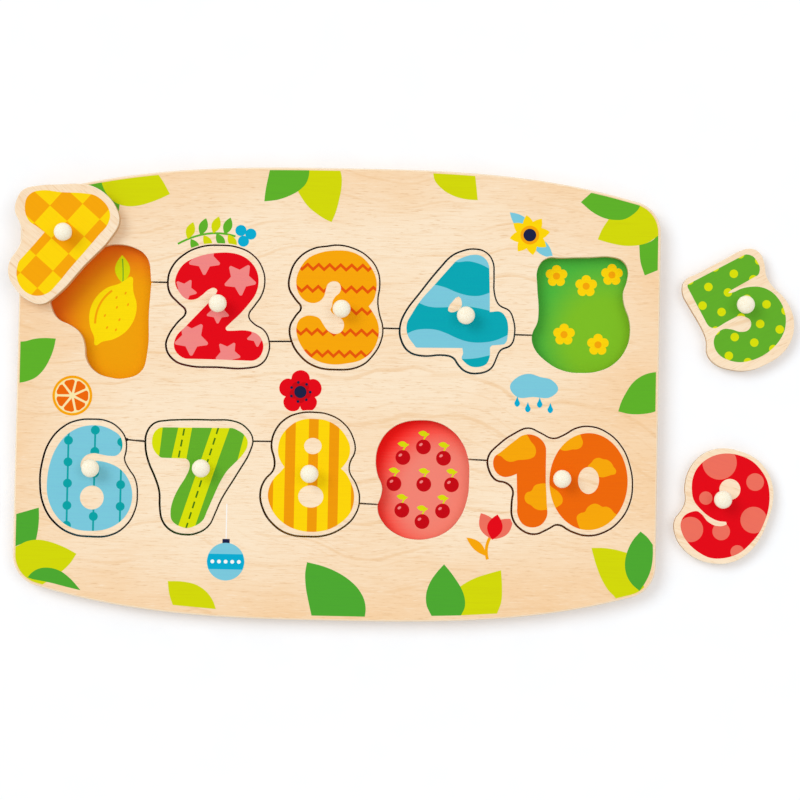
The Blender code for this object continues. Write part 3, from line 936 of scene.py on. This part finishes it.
def roads():
    """Yellow roads with green middle dashes that run down the seven."""
    bands = [
        [(-30, 30), (-17.5, 30), (-20.2, 4), (-30, 4)],
        [(-9, 33), (-2.9, 33), (-8.2, 0), (-15.6, 0)],
        [(6.9, 30), (15.4, 30.5), (8.5, 10), (-3.5, -27), (-11.4, -27), (0, 8.5)],
        [(20.9, 24), (30, 24), (30, 8), (17, 8)],
    ]
    marks = dashes((-7.1, 28.4), (-11.8, 2)) + dashes((9.5, 29.2), (-7.6, -28))
    return [(line, "lemon") for line in bands] + [(line, "olive") for line in marks]


def stripes():
    edges = ((-22, -16.8), (-11.5, -6.8), (-0.6, 3.9), (9.0, 13.6), (19.7, 24))
    return [box_shape(x0, -30, x1, 30) for x0, x1 in edges]


def spots():
    circles = [
        (-8.3, 19, 8), (10.3, 15.8, 4.1), (-9, 1.2, 3.1), (15.4, -1.2, 6.2), (-11, -15, 5.9),
        (2.8, -11.2, 4.1), (13, -17.8, 3.2),
    ]
    return [disc(x, y, radius, 40) for x, y, radius in circles]


def clouds():
    return [smooth_line(cloud, 4) for cloud in CLOUDS]


# Ground ink, pattern ink and pattern of each digit
PRINTS = {
    "1": ("yellow", "amber", checks),
    "2": ("red", "pink", stars),
    "3": ("amber", "deep_orange", zigzags),
    "4": ("teal", "pale_blue", waves),
    "5": ("green", "lemon", dots),
    "6": ("sky", "deep_teal", beads),
    "7": ("green", "", roads),
    "8": ("yellow", "deep_amber", stripes),
    "9": ("red", "salmon", spots),
    "10": ("orange", "amber", clouds),
}


def print_digit(number):
    """The digit's ink, in the tile's own coordinates."""
    place, turn = PRINT_PLACES.get(number, ((0, 0), 0))
    outlines = [moved(smooth_line(line), place, turn) for line in OUTLINES[number]]
    holes = [moved(smooth_line(line, 2), place, turn) for line in HOLES.get(number, [])]
    ground, pattern_ink, pattern = PRINTS[number]
    paint = [(line, ground) for line in outlines]
    for item in pattern():
        line, colour = item if isinstance(item, tuple) else (item, pattern_ink)
        paint.append((moved(line, place, turn), colour))
    return painted_mesh(f"print_{number}", paint, outlines, holes, tile_place(number)[1])


# The leaves along the board's edge, from the first printed to the last

LEAVES = [
    ("leaf_green", [
        (-134, 96, SHARP), (-126, 98.5), (-112, 99.6), (-105, 95), (-103.8, 90), (-104.2, 84, SHARP),
        (-112, 88), (-120, 91),
    ]),
    ("lime", [
        (-113.2, 99, SHARP), (-87, 103, SHARP), (-83.5, 98), (-80.3, 92.4, SHARP), (-85, 90.1),
        (-90, 88.1), (-95, 86.7), (-100, 86.3), (-104.5, 87.3), (-108.5, 90), (-111.3, 94),
    ]),
    ("lime", [
        (-20, 107, SHARP), (-1.2, 107, SHARP), (0.2, 102.5), (0.3, 97), (-0.7, 91), (-2.2, 85),
        (-4, 80.5, SHARP), (-7, 81.8), (-11, 84.3), (-15.2, 87.7), (-18, 91.3), (-20, 94.5, SHARP),
    ]),
    ("leaf_green", [
        (-33, 107, SHARP), (-15, 107, SHARP), (-15.2, 101.8), (-16.5, 98.3), (-19.5, 95.2), (-24, 92.6),
        (-29.5, 90.6), (-35.8, 89.7, SHARP), (-35.3, 95), (-34.3, 100.5),
    ]),
    ("lime", [
        (43, 107, SHARP), (62.4, 107, SHARP), (63.5, 99), (64.3, 92, SHARP), (59, 92.3), (53, 93.8),
        (47.5, 97), (44, 101),
    ]),
    ("leaf_green", [
        (149.5, 79.5, SHARP), (149.5, 60.8, SHARP), (143, 58, SHARP), (141, 64), (140.2, 72.2, SHARP),
        (144, 73.3), (147.2, 75.2),
    ]),
    ("lime", [
        (140.5, 96, SHARP), (152, 96, SHARP), (152, 79, SHARP), (148.2, 76.2), (144.3, 73.5), (139, 72),
        (133, 71.8), (127, 72.8), (120.8, 74.5, SHARP), (122.6, 79), (125.8, 84.2, SHARP), (133, 88),
    ]),
    ("leaf_green", [
        (117.5, 96.5, SHARP), (141, 93, SHARP), (139.5, 89), (137, 86.5), (133, 84.2), (128.5, 83.8),
        (124, 84.5), (118.3, 87.2), (112.6, 91.9, SHARP),
    ]),
    ("deep_leaf", [
        (-154, -60.7, SHARP), (-138.5, -56, SHARP), (-138.3, -61), (-138.6, -66), (-139.5, -71.5, SHARP),
        (-146, -73), (-154, -77, SHARP),
    ]),
    ("lime", [
        (-154, -77, SHARP), (-148.3, -74.2), (-143.5, -71.8), (-138.5, -71), (-132.5, -72), (-126, -74.3),
        (-120.3, -77.2, SHARP), (-123.2, -81.8), (-127.5, -86), (-136, -92, SHARP), (-154, -96, SHARP),
    ]),
    ("deep_leaf", [
        (-143, -88.7, SHARP), (-140.5, -86), (-137, -84.3), (-133, -84), (-128, -85.3), (-123, -88.8),
        (-118, -94.2, SHARP), (-124, -92.9), (-132, -91), (-140, -89.6),
    ]),
    ("lime", [
        (-77.2, -89.1, SHARP), (-70, -89.2), (-63.5, -90.7), (-58.3, -94.4), (-55.5, -98.6),
        (-54.4, -101.7, SHARP), (-74.6, -100.2, SHARP), (-76.3, -95.3),
    ]),
    ("deep_leaf", [
        (-12.2, -79, SHARP), (-5.5, -80.5), (1, -82.9), (7, -86.4), (12, -91), (15, -96.5),
        (15.6, -100.5), (15.3, -103.8, SHARP), (-9.6, -103.8, SHARP), (-11, -98), (-12.6, -90),
        (-12.9, -83.5),
    ]),
    ("lime", [
        (78.4, -80.9, SHARP), (73, -82.5), (66, -85), (60, -88.5), (52, -98, SHARP), (58, -102.4, SHARP),
        (76.9, -101.1, SHARP), (78.7, -96), (79, -89),
    ]),
    ("deep_leaf", [
        (51.8, -78.7, SHARP), (48.5, -82.5), (45.3, -87.5), (43.7, -93), (44, -97.8),
        (46.4, -102.8, SHARP), (60.1, -102.3, SHARP), (61.8, -98.5), (61.7, -94.3), (60.3, -90.3),
        (57.3, -85.5), (54.5, -81.8),
    ]),
    ("lime", [
        (120.3, -69.7, SHARP), (126, -69.6), (131.5, -70.3), (137.5, -71.8, SHARP), (146, -89, SHARP),
        (144, -97, SHARP), (134, -97, SHARP), (132, -92.9), (128.3, -89), (125.5, -84.5), (122.6, -77.5),
    ]),
    ("deep_leaf", [
        (143, -61.6, SHARP), (146, -64), (148.8, -67.6, SHARP), (148.9, -73), (148, -79.5), (146, -84.5),
        (143, -89.2, SHARP), (139.3, -86), (136.7, -81.5), (136, -76.5), (137.2, -70.5), (139.7, -65.5),
    ]),
    ("leaf_green", [
        (-154, 22, SHARP), (-147.5, 21.8), (-142, 23.2), (-137, 23.6), (-132.4, 23.4, SHARP),
        (-133.5, 18), (-135.5, 12.8), (-138, 8.5), (-141.5, 5), (-146, 3), (-154, 2, SHARP),
    ]),
    ("leaf_green", [
        (154, 12.6, SHARP), (147.5, 12.7), (142.5, 11), (138.3, 7.7), (135.2, 3), (133, -1.5),
        (131.7, -5.8, SHARP), (137, -6.9), (143, -6.8), (147.5, -6), (154, -3, SHARP),
    ]),
]


# Small printed pictures on the board: plain plants and other simple things

def sprig():
    """A leafy twig with three blue berries."""
    paint = [(stroke((-76, 69), (-62, 77), (-49, 73), 0.9), "leaf_green")]
    colours = ["lime", "leaf_green"]
    for x, y in ((-71.5, 71.4), (-65.5, 73.3), (-59.5, 74.2), (-54, 73.8)):
        paint.append((leaf((x, y), (x + 2.5, y + 8), 2.1, 2.1), colours[0]))
        colours.reverse()
        paint.append((leaf((x + 1.5, y), (x + 5.5, y - 6.3), 1.9, 1.9), colours[0]))
    return paint + [(disc(x, y, 2.6), "blue") for x, y in ((-46.5, 75.8), (-45.2, 70.8), (-41.8, 74.2))]


def daisy():
    """A yellow flower with a dark centre and two pale blue leaves."""
    paint = [(leaf((90, 76), tip, 2.6, 3.4), "pale_blue") for tip in ((79.5, 86.5), (100, 65.5))]
    for i in range(8):
        x, y = turned(9.5, 0, 45 * i + 10)
        paint.append((leaf((89, 76), (89 + x, 76 + y), 2.6, 2.6), "yellow"))
    return paint + [(disc(89, 76, 4.4), "amber"), (disc(89, 76, 3.0), "navy")]


def orange_slice():
    """A round slice of an orange with seven segments."""
    x, y = -124, -3.2
    paint = [(disc(x, y, 9.4, 44), "amber"), (disc(x, y, 8.2, 44), "cream")]
    wedge = [(1.3, 0, SHARP), (6.3, -2.5), (7.15, -2.1), (7.5, 0), (7.15, 2.1), (6.3, 2.5)]
    for i in range(7):
        paint.append((moved(smooth_line(wedge, 4), (x, y), 360 / 7 * i), "orange"))
    return paint


def poppy():
    """A red flower with a navy heart."""
    x, y = -17, 0.5
    paint = [(blossom(x, y, 10.2, 5), "red"), (blossom(x, y, 5.2, 5, turn=126), "deep_red")]
    paint.append((disc(x, y, 2.9), "navy"))
    for i in range(7):
        dot_x, dot_y = turned(4.6, 0, 360 / 7 * i)
        paint.append((disc(x + dot_x, y + dot_y, 0.7, 14), "navy"))
    return paint


def rain_cloud():
    """A pale blue cloud over four blue drops."""
    humps = [
        (81, 5), (84, 9), (90, 11), (95, 9.6), (100.5, 8.2), (103.5, 4), (100.5, 0.5), (92, 0.2), (84, 0.3),
    ]
    drop = smooth_line([(0, 2.8, SHARP), (0.7, 1.0), (1.3, -0.5), (0, -2), (-1.3, -0.5), (-0.7, 1.0)])
    places = ((84.5, -2.5), (89.5, -5), (95, -2.8), (100, -5.2))
    return [(smooth_line(humps), "pale_blue")] + [(moved(drop, place), "blue") for place in places]


def hanging_ball():
    """A banded ball on a white thread."""
    x, y = -50.3, -79.5
    radius = 8.8
    half_band = radius * math.sin(math.radians(24))
    band = [
        (-8.0, half_band), (8.0, half_band), (radius, 0), (8.0, -half_band), (-8.0, -half_band), (-radius, 0),
    ]
    paint = [
        (box_shape(x - 0.25, y + 8, x + 0.25, -52.5), "white"),
        (box_shape(x - 1.7, y + 8, x + 1.7, y + 10.6), "navy"),
        (disc(x, y, radius, 44), "pale_blue"),
        (moved(band, (x, y)), "blue"),
    ]
    return paint + [(disc(x + 3.1 * i, y, 0.9, 16), "white") for i in range(-2, 3)]


def tulip():
    """A salmon and red tulip with an amber stalk and leaf."""
    return [
        (stroke((72, -76), (70, -70), (74, -64), 1.4), "amber"),
        (leaf((71.5, -74.5), (62, -66), 1.6, 2.6), "amber"),
        (leaf((74, -66.5), (68.5, -54.5), 3.2, 4.4), "salmon"),
        (leaf((74, -66.5), (83.5, -57), 4.4, 3.2), "salmon"),
        (leaf((74, -66.8), (76.3, -55), 3.6, 3.6), "red"),
    ]


# Pictures on the floors of the wells, each counted from the well's centre

def lemon(x, y):
    """One big lemon with a leaf."""
    body = [
        (-18, 0.0), (-15.2, 2.0), (-11.5, 6.2), (-5, 9.9), (2, 10.4), (8.6, 7.9), (13, 3.8), (15.6, 2.2),
        (18.6, 0.0), (15.6, -2.2), (13, -3.8), (8.6, -7.9), (2, -10.4), (-5, -9.9), (-11.5, -6.2),
        (-15.2, -2.0),
    ]
    pores = [
        (-8, -1), (-3.5, 2.6), (-2, -4.4), (2.6, -0.6), (6.6, 1.8), (6.2, -4.6), (-7, -5.2), (10.4, -1),
    ]
    paint = [
        (leaf((13.8, 2.2), (25.5, 9.0), 3.6, 3.6), "lemon"),
        (stroke((14.5, 2.6), (19.5, 5.0), (24, 8.0), 0.5), "green"),
        (smooth_line(body), "bright_yellow"),
        (stroke((-9, 4.9), (0, 9.4), (8.5, 5.2), 1.0), "amber"),
    ]
    paint += [(oval(*pore, 0.75, 0.42, count=14), "amber") for pore in pores]
    return [(moved(line, (x, y), 63), colour) for line, colour in paint]


def flower(x, y, petals, colour, centre, radius):
    return [(blossom(x, y, radius, petals), colour), (disc(x, y, radius * 0.32), centre)]


def yellow_flower(x, y):
    return flower(x, y, 5, "yellow", "amber", 5.2)


def white_flower(x, y):
    return flower(x, y, 6, "white", "yellow", 5.0)


def yellow_star(x, y):
    return [(rounded_star(x, y, 4.6, 90), "yellow")]


def lime_leaf(x, y):
    return [(leaf((x - 3.4, y - 3.4), (x + 3.4, y + 3.4), 2.4, 2.4), "lime")]


def cherry(x, y):
    return [
        (stroke((x, y + 2.5), (x + 0.2, y + 5), (x + 2.6, y + 6.2), 0.7), "lemon"),
        (leaf((x + 2.2, y + 6), (x - 2.6, y + 6.6), 1.3, 1.3), "lemon"),
        (disc(x, y, 3.5), "deep_red"),
        (oval(x - 1.2, y + 1.1, 0.9, 0.6, 35, 16), "pink"),
    ]


def ring_of(count, half_x, half_y, start=90.0, middle=(0, 0)):
    """Places evenly round an oval."""
    angles = [math.radians(start + 360 * i / count) for i in range(count)]
    return [(middle[0] + half_x * math.cos(a), middle[1] + half_y * math.sin(a)) for a in angles]


# As many simple things on the floor of a well as its number says
WELL_PICTURES = {
    "1": (lemon, [(5.5, 1.0)]),
    "2": (white_flower, [(-1, 15), (0, -14)]),
    "3": (yellow_star, [(-4, 16), (10, 2), (-3, -15)]),
    "4": (lime_leaf, [(6, 18), (-9, 0), (10, -3), (6, -18)]),
    "5": (yellow_flower, [(-12, 18.5), (2, 14), (14, 19.5), (-8, -9), (8, -13.5)]),
    "6": (white_flower, [(-2, 18), (-13, 4), (-14, -12), (0, -19), (13, -12), (4, 0)]),
    "7": (lime_leaf, [(-18, 17), (-6, 18), (7, 18), (15, 14), (6, 3), (-2, -8), (-7, -18)]),
    "8": (lime_leaf, ring_of(4, 8, 7, middle=(0, 14)) + ring_of(4, 10, 9, 45, (0, -12))),
    "9": (cherry, [(0.5, -1.5)] + ring_of(8, 13.5, 17.5, middle=(0, -1.5))),
    "10": (yellow_star, [(-15, 15)] + ring_of(9, 13, 16, middle=(13, 0))),
}

# The ground of each well floor: light colour, deep colour, the middle of the light part, how far from
# it along X and Y the deep colour is reached, and the share of that way that stays light. The deep
# colour is partly the printed ground and partly painted shadow of the well's walls, towards the upper left
FLOORS = {
    "floor_1": ((240, 165, 0), (232, 106, 16), (13, -8), (37, 43), 0.52),
    "floor_2": ((238, 150, 140), (222, 70, 60), (4, -4), (30, 34)),
    "floor_3": ((246, 190, 90), (230, 120, 20), (4, -4), (30, 34)),
    "floor_4": ((120, 200, 214), (20, 150, 170), (4, -4), (32, 34)),
    "floor_5": ((127, 191, 32), (74, 182, 62), (9, -10), (32, 38)),
    "floor_6": ((130, 206, 220), (20, 150, 170), (4, -4), (30, 34)),
    "floor_7": ((150, 204, 90), (60, 160, 50), (4, -4), (34, 34)),
    "floor_8": ((252, 218, 80), (240, 160, 20), (4, -4), (30, 34)),
    "floor_9": ((242, 136, 120), (252, 24, 22), (8, -6), (34, 38), 0.5),
    "floor_10": ((246, 160, 80), (234, 100, 10), (4, -4), (40, 34)),
}


# Pieces

def plain_slot(x, y):
    return 0


@functools.cache
def open_edges():
    """The edges of the wells whose tiles lie beside the board."""
    return [point for number in LOOSE for point in moved(tile_outline(number), WELLS[number])]


def cut_slot(x, y):
    """The slot for a wall of the top sheet: 2 round an open well, 1 in a narrow cut, whose darker material is
    partly a scorched brown and partly painted shade of the narrow gap.
    """
    reach = 1.5
    return 2 if any(math.hypot(x - edge[0], y - edge[1]) < reach for edge in open_edges()) else 1


def make_board():
    """The top sheet with its wells and slits, and the base sheet under it."""
    outer = smooth_line(rims_at("top_panel", rim_level("top_panel"))[0], 3, CAD_CORNER)
    edges = [(outer, GLUED_RIM, OUTER_RIM, plain_slot)]
    for line in rims_at("top_panel", PANEL_TOP):
        line = smooth_line(line, 2, CAD_CORNER)
        # A line that holds nearly the whole board is its own rim, and the others are openings
        if abs(signed_area(line)) < 0.8 * abs(signed_area(outer)):
            opening = moved_left(anticlockwise(line), -SLIT_FIT)
            edges.append((opening, WELL_FOOT_RIM, WELL_RIM, cut_slot))
    thickness = (PANEL_TOP - PANEL_BOTTOM) / MM
    mesh = plate_mesh("panel_sheet", edges, thickness)
    panel = new_object(mesh, "board", Matrix.Translation((0, 0, PANEL_BOTTOM)))
    mesh.materials.append(birch("panel_birch", thickness))
    # A narrow cut's walls get a darker copy of the wall: painted shade of the narrow gap
    mesh.materials.append(cut_wall_with_painted_shade("shaded_kerf_wall", thickness, SCORCHED_AND_SHADED_CUT_TOP, SCORCHED_AND_SHADED_CUT_FOOT))
    mesh.materials.append(cut_wall_with_painted_shade("well_wall", thickness, OPEN_WALL, OPEN_WALL_SHADED_FOOT))
    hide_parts("top_panel")

    thickness = BASE_TOP / MM
    mesh = plate_mesh("base_sheet", [(outer, OUTER_RIM, GLUED_RIM, plain_slot)], thickness)
    base = new_object(mesh, "board")
    mesh.materials.append(birch("base_birch", thickness, offset=(310.0, 57.0, 40.0)))
    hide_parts("base_panel")
    return outer


def make_tile(number):
    low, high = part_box(f"tile_{number}")
    thickness = (high[2] - low[2]) / MM
    lean = (0.0, 0.0) if number in LOOSE else LEAN
    outline = moved(moved_left(tile_outline(number), FIT), lean)
    knob_low, knob_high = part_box(f"knob_{number}")
    middle_x, middle_y, _ = [(a + b) / 2 / MM for a, b in zip(knob_low, knob_high)]
    place, degrees = tile_place(number)
    knob_x, knob_y = turned(middle_x - place[0], middle_y - place[1], -degrees)
    hole = disc(knob_x, knob_y, HOLE_RADIUS, 32)
    edges = [(outline, TILE_RIM, TILE_RIM, plain_slot), (hole, HOLE_RIM, HOLE_RIM, plain_slot)]
    mesh = plate_mesh(f"wood_tile_{number}", edges, thickness)
    tile = new_object(mesh, f"number_{number}", on_tile(mesh, number, low[2]))
    offset = (*WELLS[number], 0.0)
    mesh.materials.append(birch(f"tile_{number}_birch", thickness, offset, degrees, browning=0.1, depth=0.55))
    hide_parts(f"tile_{number}")

    digit = print_digit(number)
    new_object(digit, f"number_{number}", on_tile(digit, number, high[2]))
    make_knob(number, (middle_x * MM, middle_y * MM, high[2]), thickness)


# The knob: its head is a flattened ball on a short neck, with a foot on the tile and a tenon below
HEAD_RADIUS = 4.2
HEAD_DEPTH = 6.0
HEAD_STEPS = 14
KNOB_HEIGHT = 9.8
NECK_RADIUS = 2.3
FOOT_RADIUS = 3.3
FOOT_HEIGHT = 1.2
FOOT_GAP = 0.3
TENON_RADIUS = 1.8
HOLE_RADIUS = 2.05
KNOB_SIDES = 48
KNOB_SHARP_TURN = 50


def knob_profile(thickness):
    """Radius and height of the knob from its crown down, counted from the top of the tile."""
    half = HEAD_DEPTH / 2
    middle = KNOB_HEIGHT - half
    meet = 180 - math.degrees(math.asin((NECK_RADIUS + 0.25) / HEAD_RADIUS))
    angles = [math.radians(meet * i / HEAD_STEPS) for i in range(HEAD_STEPS + 1)]
    head = [(HEAD_RADIUS * math.sin(angle), middle + half * math.cos(angle)) for angle in angles]
    neck_top = head[-1][1]
    neck_low = FOOT_HEIGHT + 0.5
    tenon_low = FOOT_GAP - thickness
    return head + [
        (NECK_RADIUS, neck_top - 0.35),
        (NECK_RADIUS, neck_low + 0.15),
        (NECK_RADIUS + 0.2, neck_low - 0.15),
        (FOOT_RADIUS - 0.35, FOOT_HEIGHT),
        (FOOT_RADIUS - 0.1, FOOT_HEIGHT - 0.12),
        (FOOT_RADIUS, FOOT_HEIGHT - 0.35),
        (FOOT_RADIUS, FOOT_GAP + 0.15),
        (FOOT_RADIUS - 0.15, FOOT_GAP),
        (TENON_RADIUS, FOOT_GAP),
        (TENON_RADIUS, tenon_low + 0.25),
        (TENON_RADIUS - 0.25, tenon_low),
        (0.0, tenon_low),
    ]


def make_knob(number, place, thickness):
    """The knob of a tile. Its place is on the tile's top, at the middle of the hole."""
    shape = bmesh.new()
    angles = [2 * math.pi * i / KNOB_SIDES for i in range(KNOB_SIDES)]
    rings = []
    for radius, height in knob_profile(thickness):
        if radius == 0.0:
            rings.append([shape.verts.new((0.0, 0.0, height * MM))] * KNOB_SIDES)
            continue
        spots = [(radius * MM * math.cos(a), radius * MM * math.sin(a), height * MM) for a in angles]
        rings.append([shape.verts.new(spot) for spot in spots])
    for upper, lower in zip(rings, rings[1:]):
        for i in range(KNOB_SIDES):
            following = (i + 1) % KNOB_SIDES
            corners = (upper[i], lower[i], lower[following], upper[following])
            shape.faces.new(tuple(dict.fromkeys(corners)))
    mesh = mesh_of(shape, f"turned_knob_{number}")
    mesh.shade_smooth()
    mesh.set_sharp_from_angle(angle=math.radians(KNOB_SHARP_TURN))
    knob = new_object(mesh, f"number_{number}", Matrix.Translation(place))
    mesh.materials.append(knob_wood(f"knob_wood_{number}", (11.0 * int(number), 5.0, 0.0)))
    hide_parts(f"knob_{number}")


def make_well_floor(number):
    """The printed ground, with painted shadow of the well's walls, and the picture on the base sheet under
    one well.
    """
    edge = grown_outline(number, FLOOR_OVERLAP)
    thing, places = WELL_PICTURES[number]
    paint = [(edge, f"floor_{number}")]
    for x, y in places:
        paint += thing(x, y)
    mesh = painted_mesh(f"well_print_{number}", paint, [edge])
    x, y = WELLS[number]
    new_object(mesh, "board", Matrix.Translation((x * MM, y * MM, BASE_TOP)))


def print_on_board(name, paint, inside, bare):
    new_object(painted_mesh(name, paint, inside, bare), "board", Matrix.Translation((0, 0, PANEL_TOP)))


def make_board_prints(outer):
    """Leaves along the edge and the small pictures, on top of the board."""
    inner = moved_left(anticlockwise(outer), PRINT_MARGIN)
    openings = [moved(grown_outline(number, WELL_MARGIN), WELLS[number]) for number in WELLS]
    leaves = [(smooth_line(points), colour) for colour, points in LEAVES]
    print_on_board("leaf_print", leaves, [inner], openings)
    for picture in (sprig, daisy, orange_slice, poppy, rain_cloud, hanging_ball, tulip):
        paint = picture()
        print_on_board(f"{picture.__name__}_print", paint, [line for line, _ in paint], openings)


def make_start_hole_shade():
    """The dark spot beside well 6 where the saw blade went in: a disc painted as the shade in the blade's
    start hole.
    """
    # A dark disc painted as the shade in the hole where the saw blade went in
    spot = disc(-97.95, -23.35, 0.8, 20)
    well = moved(grown_outline("6", START_HOLE_MARGIN), WELLS["6"])
    print_on_board("start_hole_shade", [(spot, "hole_shade")], [spot], [well])


# Floor, light and camera

# The light on a flat top is 1 in all: this much comes from all round, in red, green and blue, a share
# from the fill lamp, and the rest from the key lamp
AMBIENT = (0.67, 0.66, 0.655)
FILL_SHARE = 0.11
FILL_DIRECTION = Vector((0.45, 0.1, 1.0)).normalized()
FILL_WIDTH = 30.0
KEY_DIRECTION = Vector((-0.68, 0.45, 1.0)).normalized()
KEY_WIDTH = 34.0
# A slightly cool paper, which evens out the warm light that the wood throws on it
FLOOR_LOW = (0.905, 0.93, 0.96, 1.0)
FLOOR_HIGH = (0.925, 0.95, 0.98, 1.0)
FLOOR_GLOW = 0.09
# Half the paper's side, and how far it lies below the board, in metres
FLOOR_HALF = 3.0
FLOOR_DROP = 0.0001


def background_rays(tree):
    """1 for rays that look at the background: from the camera, in a gloss or through glass."""
    path = put(tree, "LightPath", {}).outputs
    seen = sums(tree, "MAXIMUM", path["Is Camera Ray"], path["Is Glossy Ray"])
    return sums(tree, "MAXIMUM", seen, path["Is Transmission Ray"])


def make_floor():
    mesh = bpy.data.meshes.new("studio_floor")
    corners = box_shape(-FLOOR_HALF, -FLOOR_HALF, FLOOR_HALF, FLOOR_HALF)
    mesh.from_pydata([(x, y, 0.0) for x, y in corners], [], [(0, 1, 2, 3)])
    floor = in_scene("studio_floor", mesh)
    floor.location.z = -FLOOR_DROP
    material, tree = new_material("studio_paper")
    shader = tree.nodes["Principled BSDF"]
    mottle = noise(tree, millimetres(tree), (0.05, 0.05, 0.05), detail=2.0)
    colour = mixed(tree, between(tree, mottle, 0.3, 0.7), FLOOR_LOW, FLOOR_HIGH)
    feed(shader, {"Base Color": colour, "Roughness": 0.9, "Specular IOR Level": 0.0})
    glow = sums(tree, "MULTIPLY", background_rays(tree), FLOOR_GLOW)
    emission = put(tree, "Emission", {"Color": WHITE, "Strength": glow})
    both = put(tree, "AddShader", {0: shader.outputs[0], 1: emission.outputs[0]})
    feed(tree.nodes["Material Output"], {"Surface": both.outputs[0]})
    mesh.materials.append(material)


def make_world():
    world = bpy.data.worlds.new("studio")
    bpy.context.scene.world = world
    world.use_nodes = True
    tree = world.node_tree
    tree.nodes.clear()
    ambient = put(tree, "Background", {"Color": (*AMBIENT, 1.0), "Strength": 1.0}).outputs[0]
    backdrop = put(tree, "Background", {"Color": WHITE, "Strength": 1.0}).outputs[0]
    choice = put(tree, "MixShader", {0: background_rays(tree), 1: ambient, 2: backdrop})
    put(tree, "OutputWorld", {"Surface": choice.outputs[0]})


def make_lamp(name, direction, width, share):
    """A wide soft light from far off that gives a flat top its share of red, green and blue light."""
    light = bpy.data.lights.new(name, "SUN")
    light.angle = math.radians(width)
    light.energy = max(share) * math.pi / direction.z
    light.color = [part / max(share) for part in share]
    lamp = in_scene(name, light)
    lamp.location = direction
    lamp.rotation_euler = direction.to_track_quat("Z", "Y").to_euler()


def make_camera():
    """Almost straight above, a little to the right of the board's middle."""
    camera_data = bpy.data.cameras.new("camera")
    camera_data.sensor_width = 36.0
    camera_data.lens = 125.09
    camera_data.clip_start = 0.01
    camera_data.clip_end = 20.0
    camera = in_scene("camera", camera_data)
    camera.location = (60.79 * MM, -49.6 * MM, 1308.07 * MM)
    camera.rotation_euler = [math.radians(angle) for angle in (2.108, 1.329, 1.127)]
    bpy.context.scene.camera = camera


def main():
    bpy.context.scene.view_settings.view_transform = "Standard"
    outer = make_board()
    for number in WELLS:
        make_tile(number)
        make_well_floor(number)
    make_board_prints(outer)
    make_start_hole_shade()
    make_floor()
    make_world()
    make_lamp("key", KEY_DIRECTION, KEY_WIDTH, [1.0 - FILL_SHARE - part for part in AMBIENT])
    make_lamp("fill", FILL_DIRECTION, FILL_WIDTH, [FILL_SHARE] * 3)
    make_camera()


main()
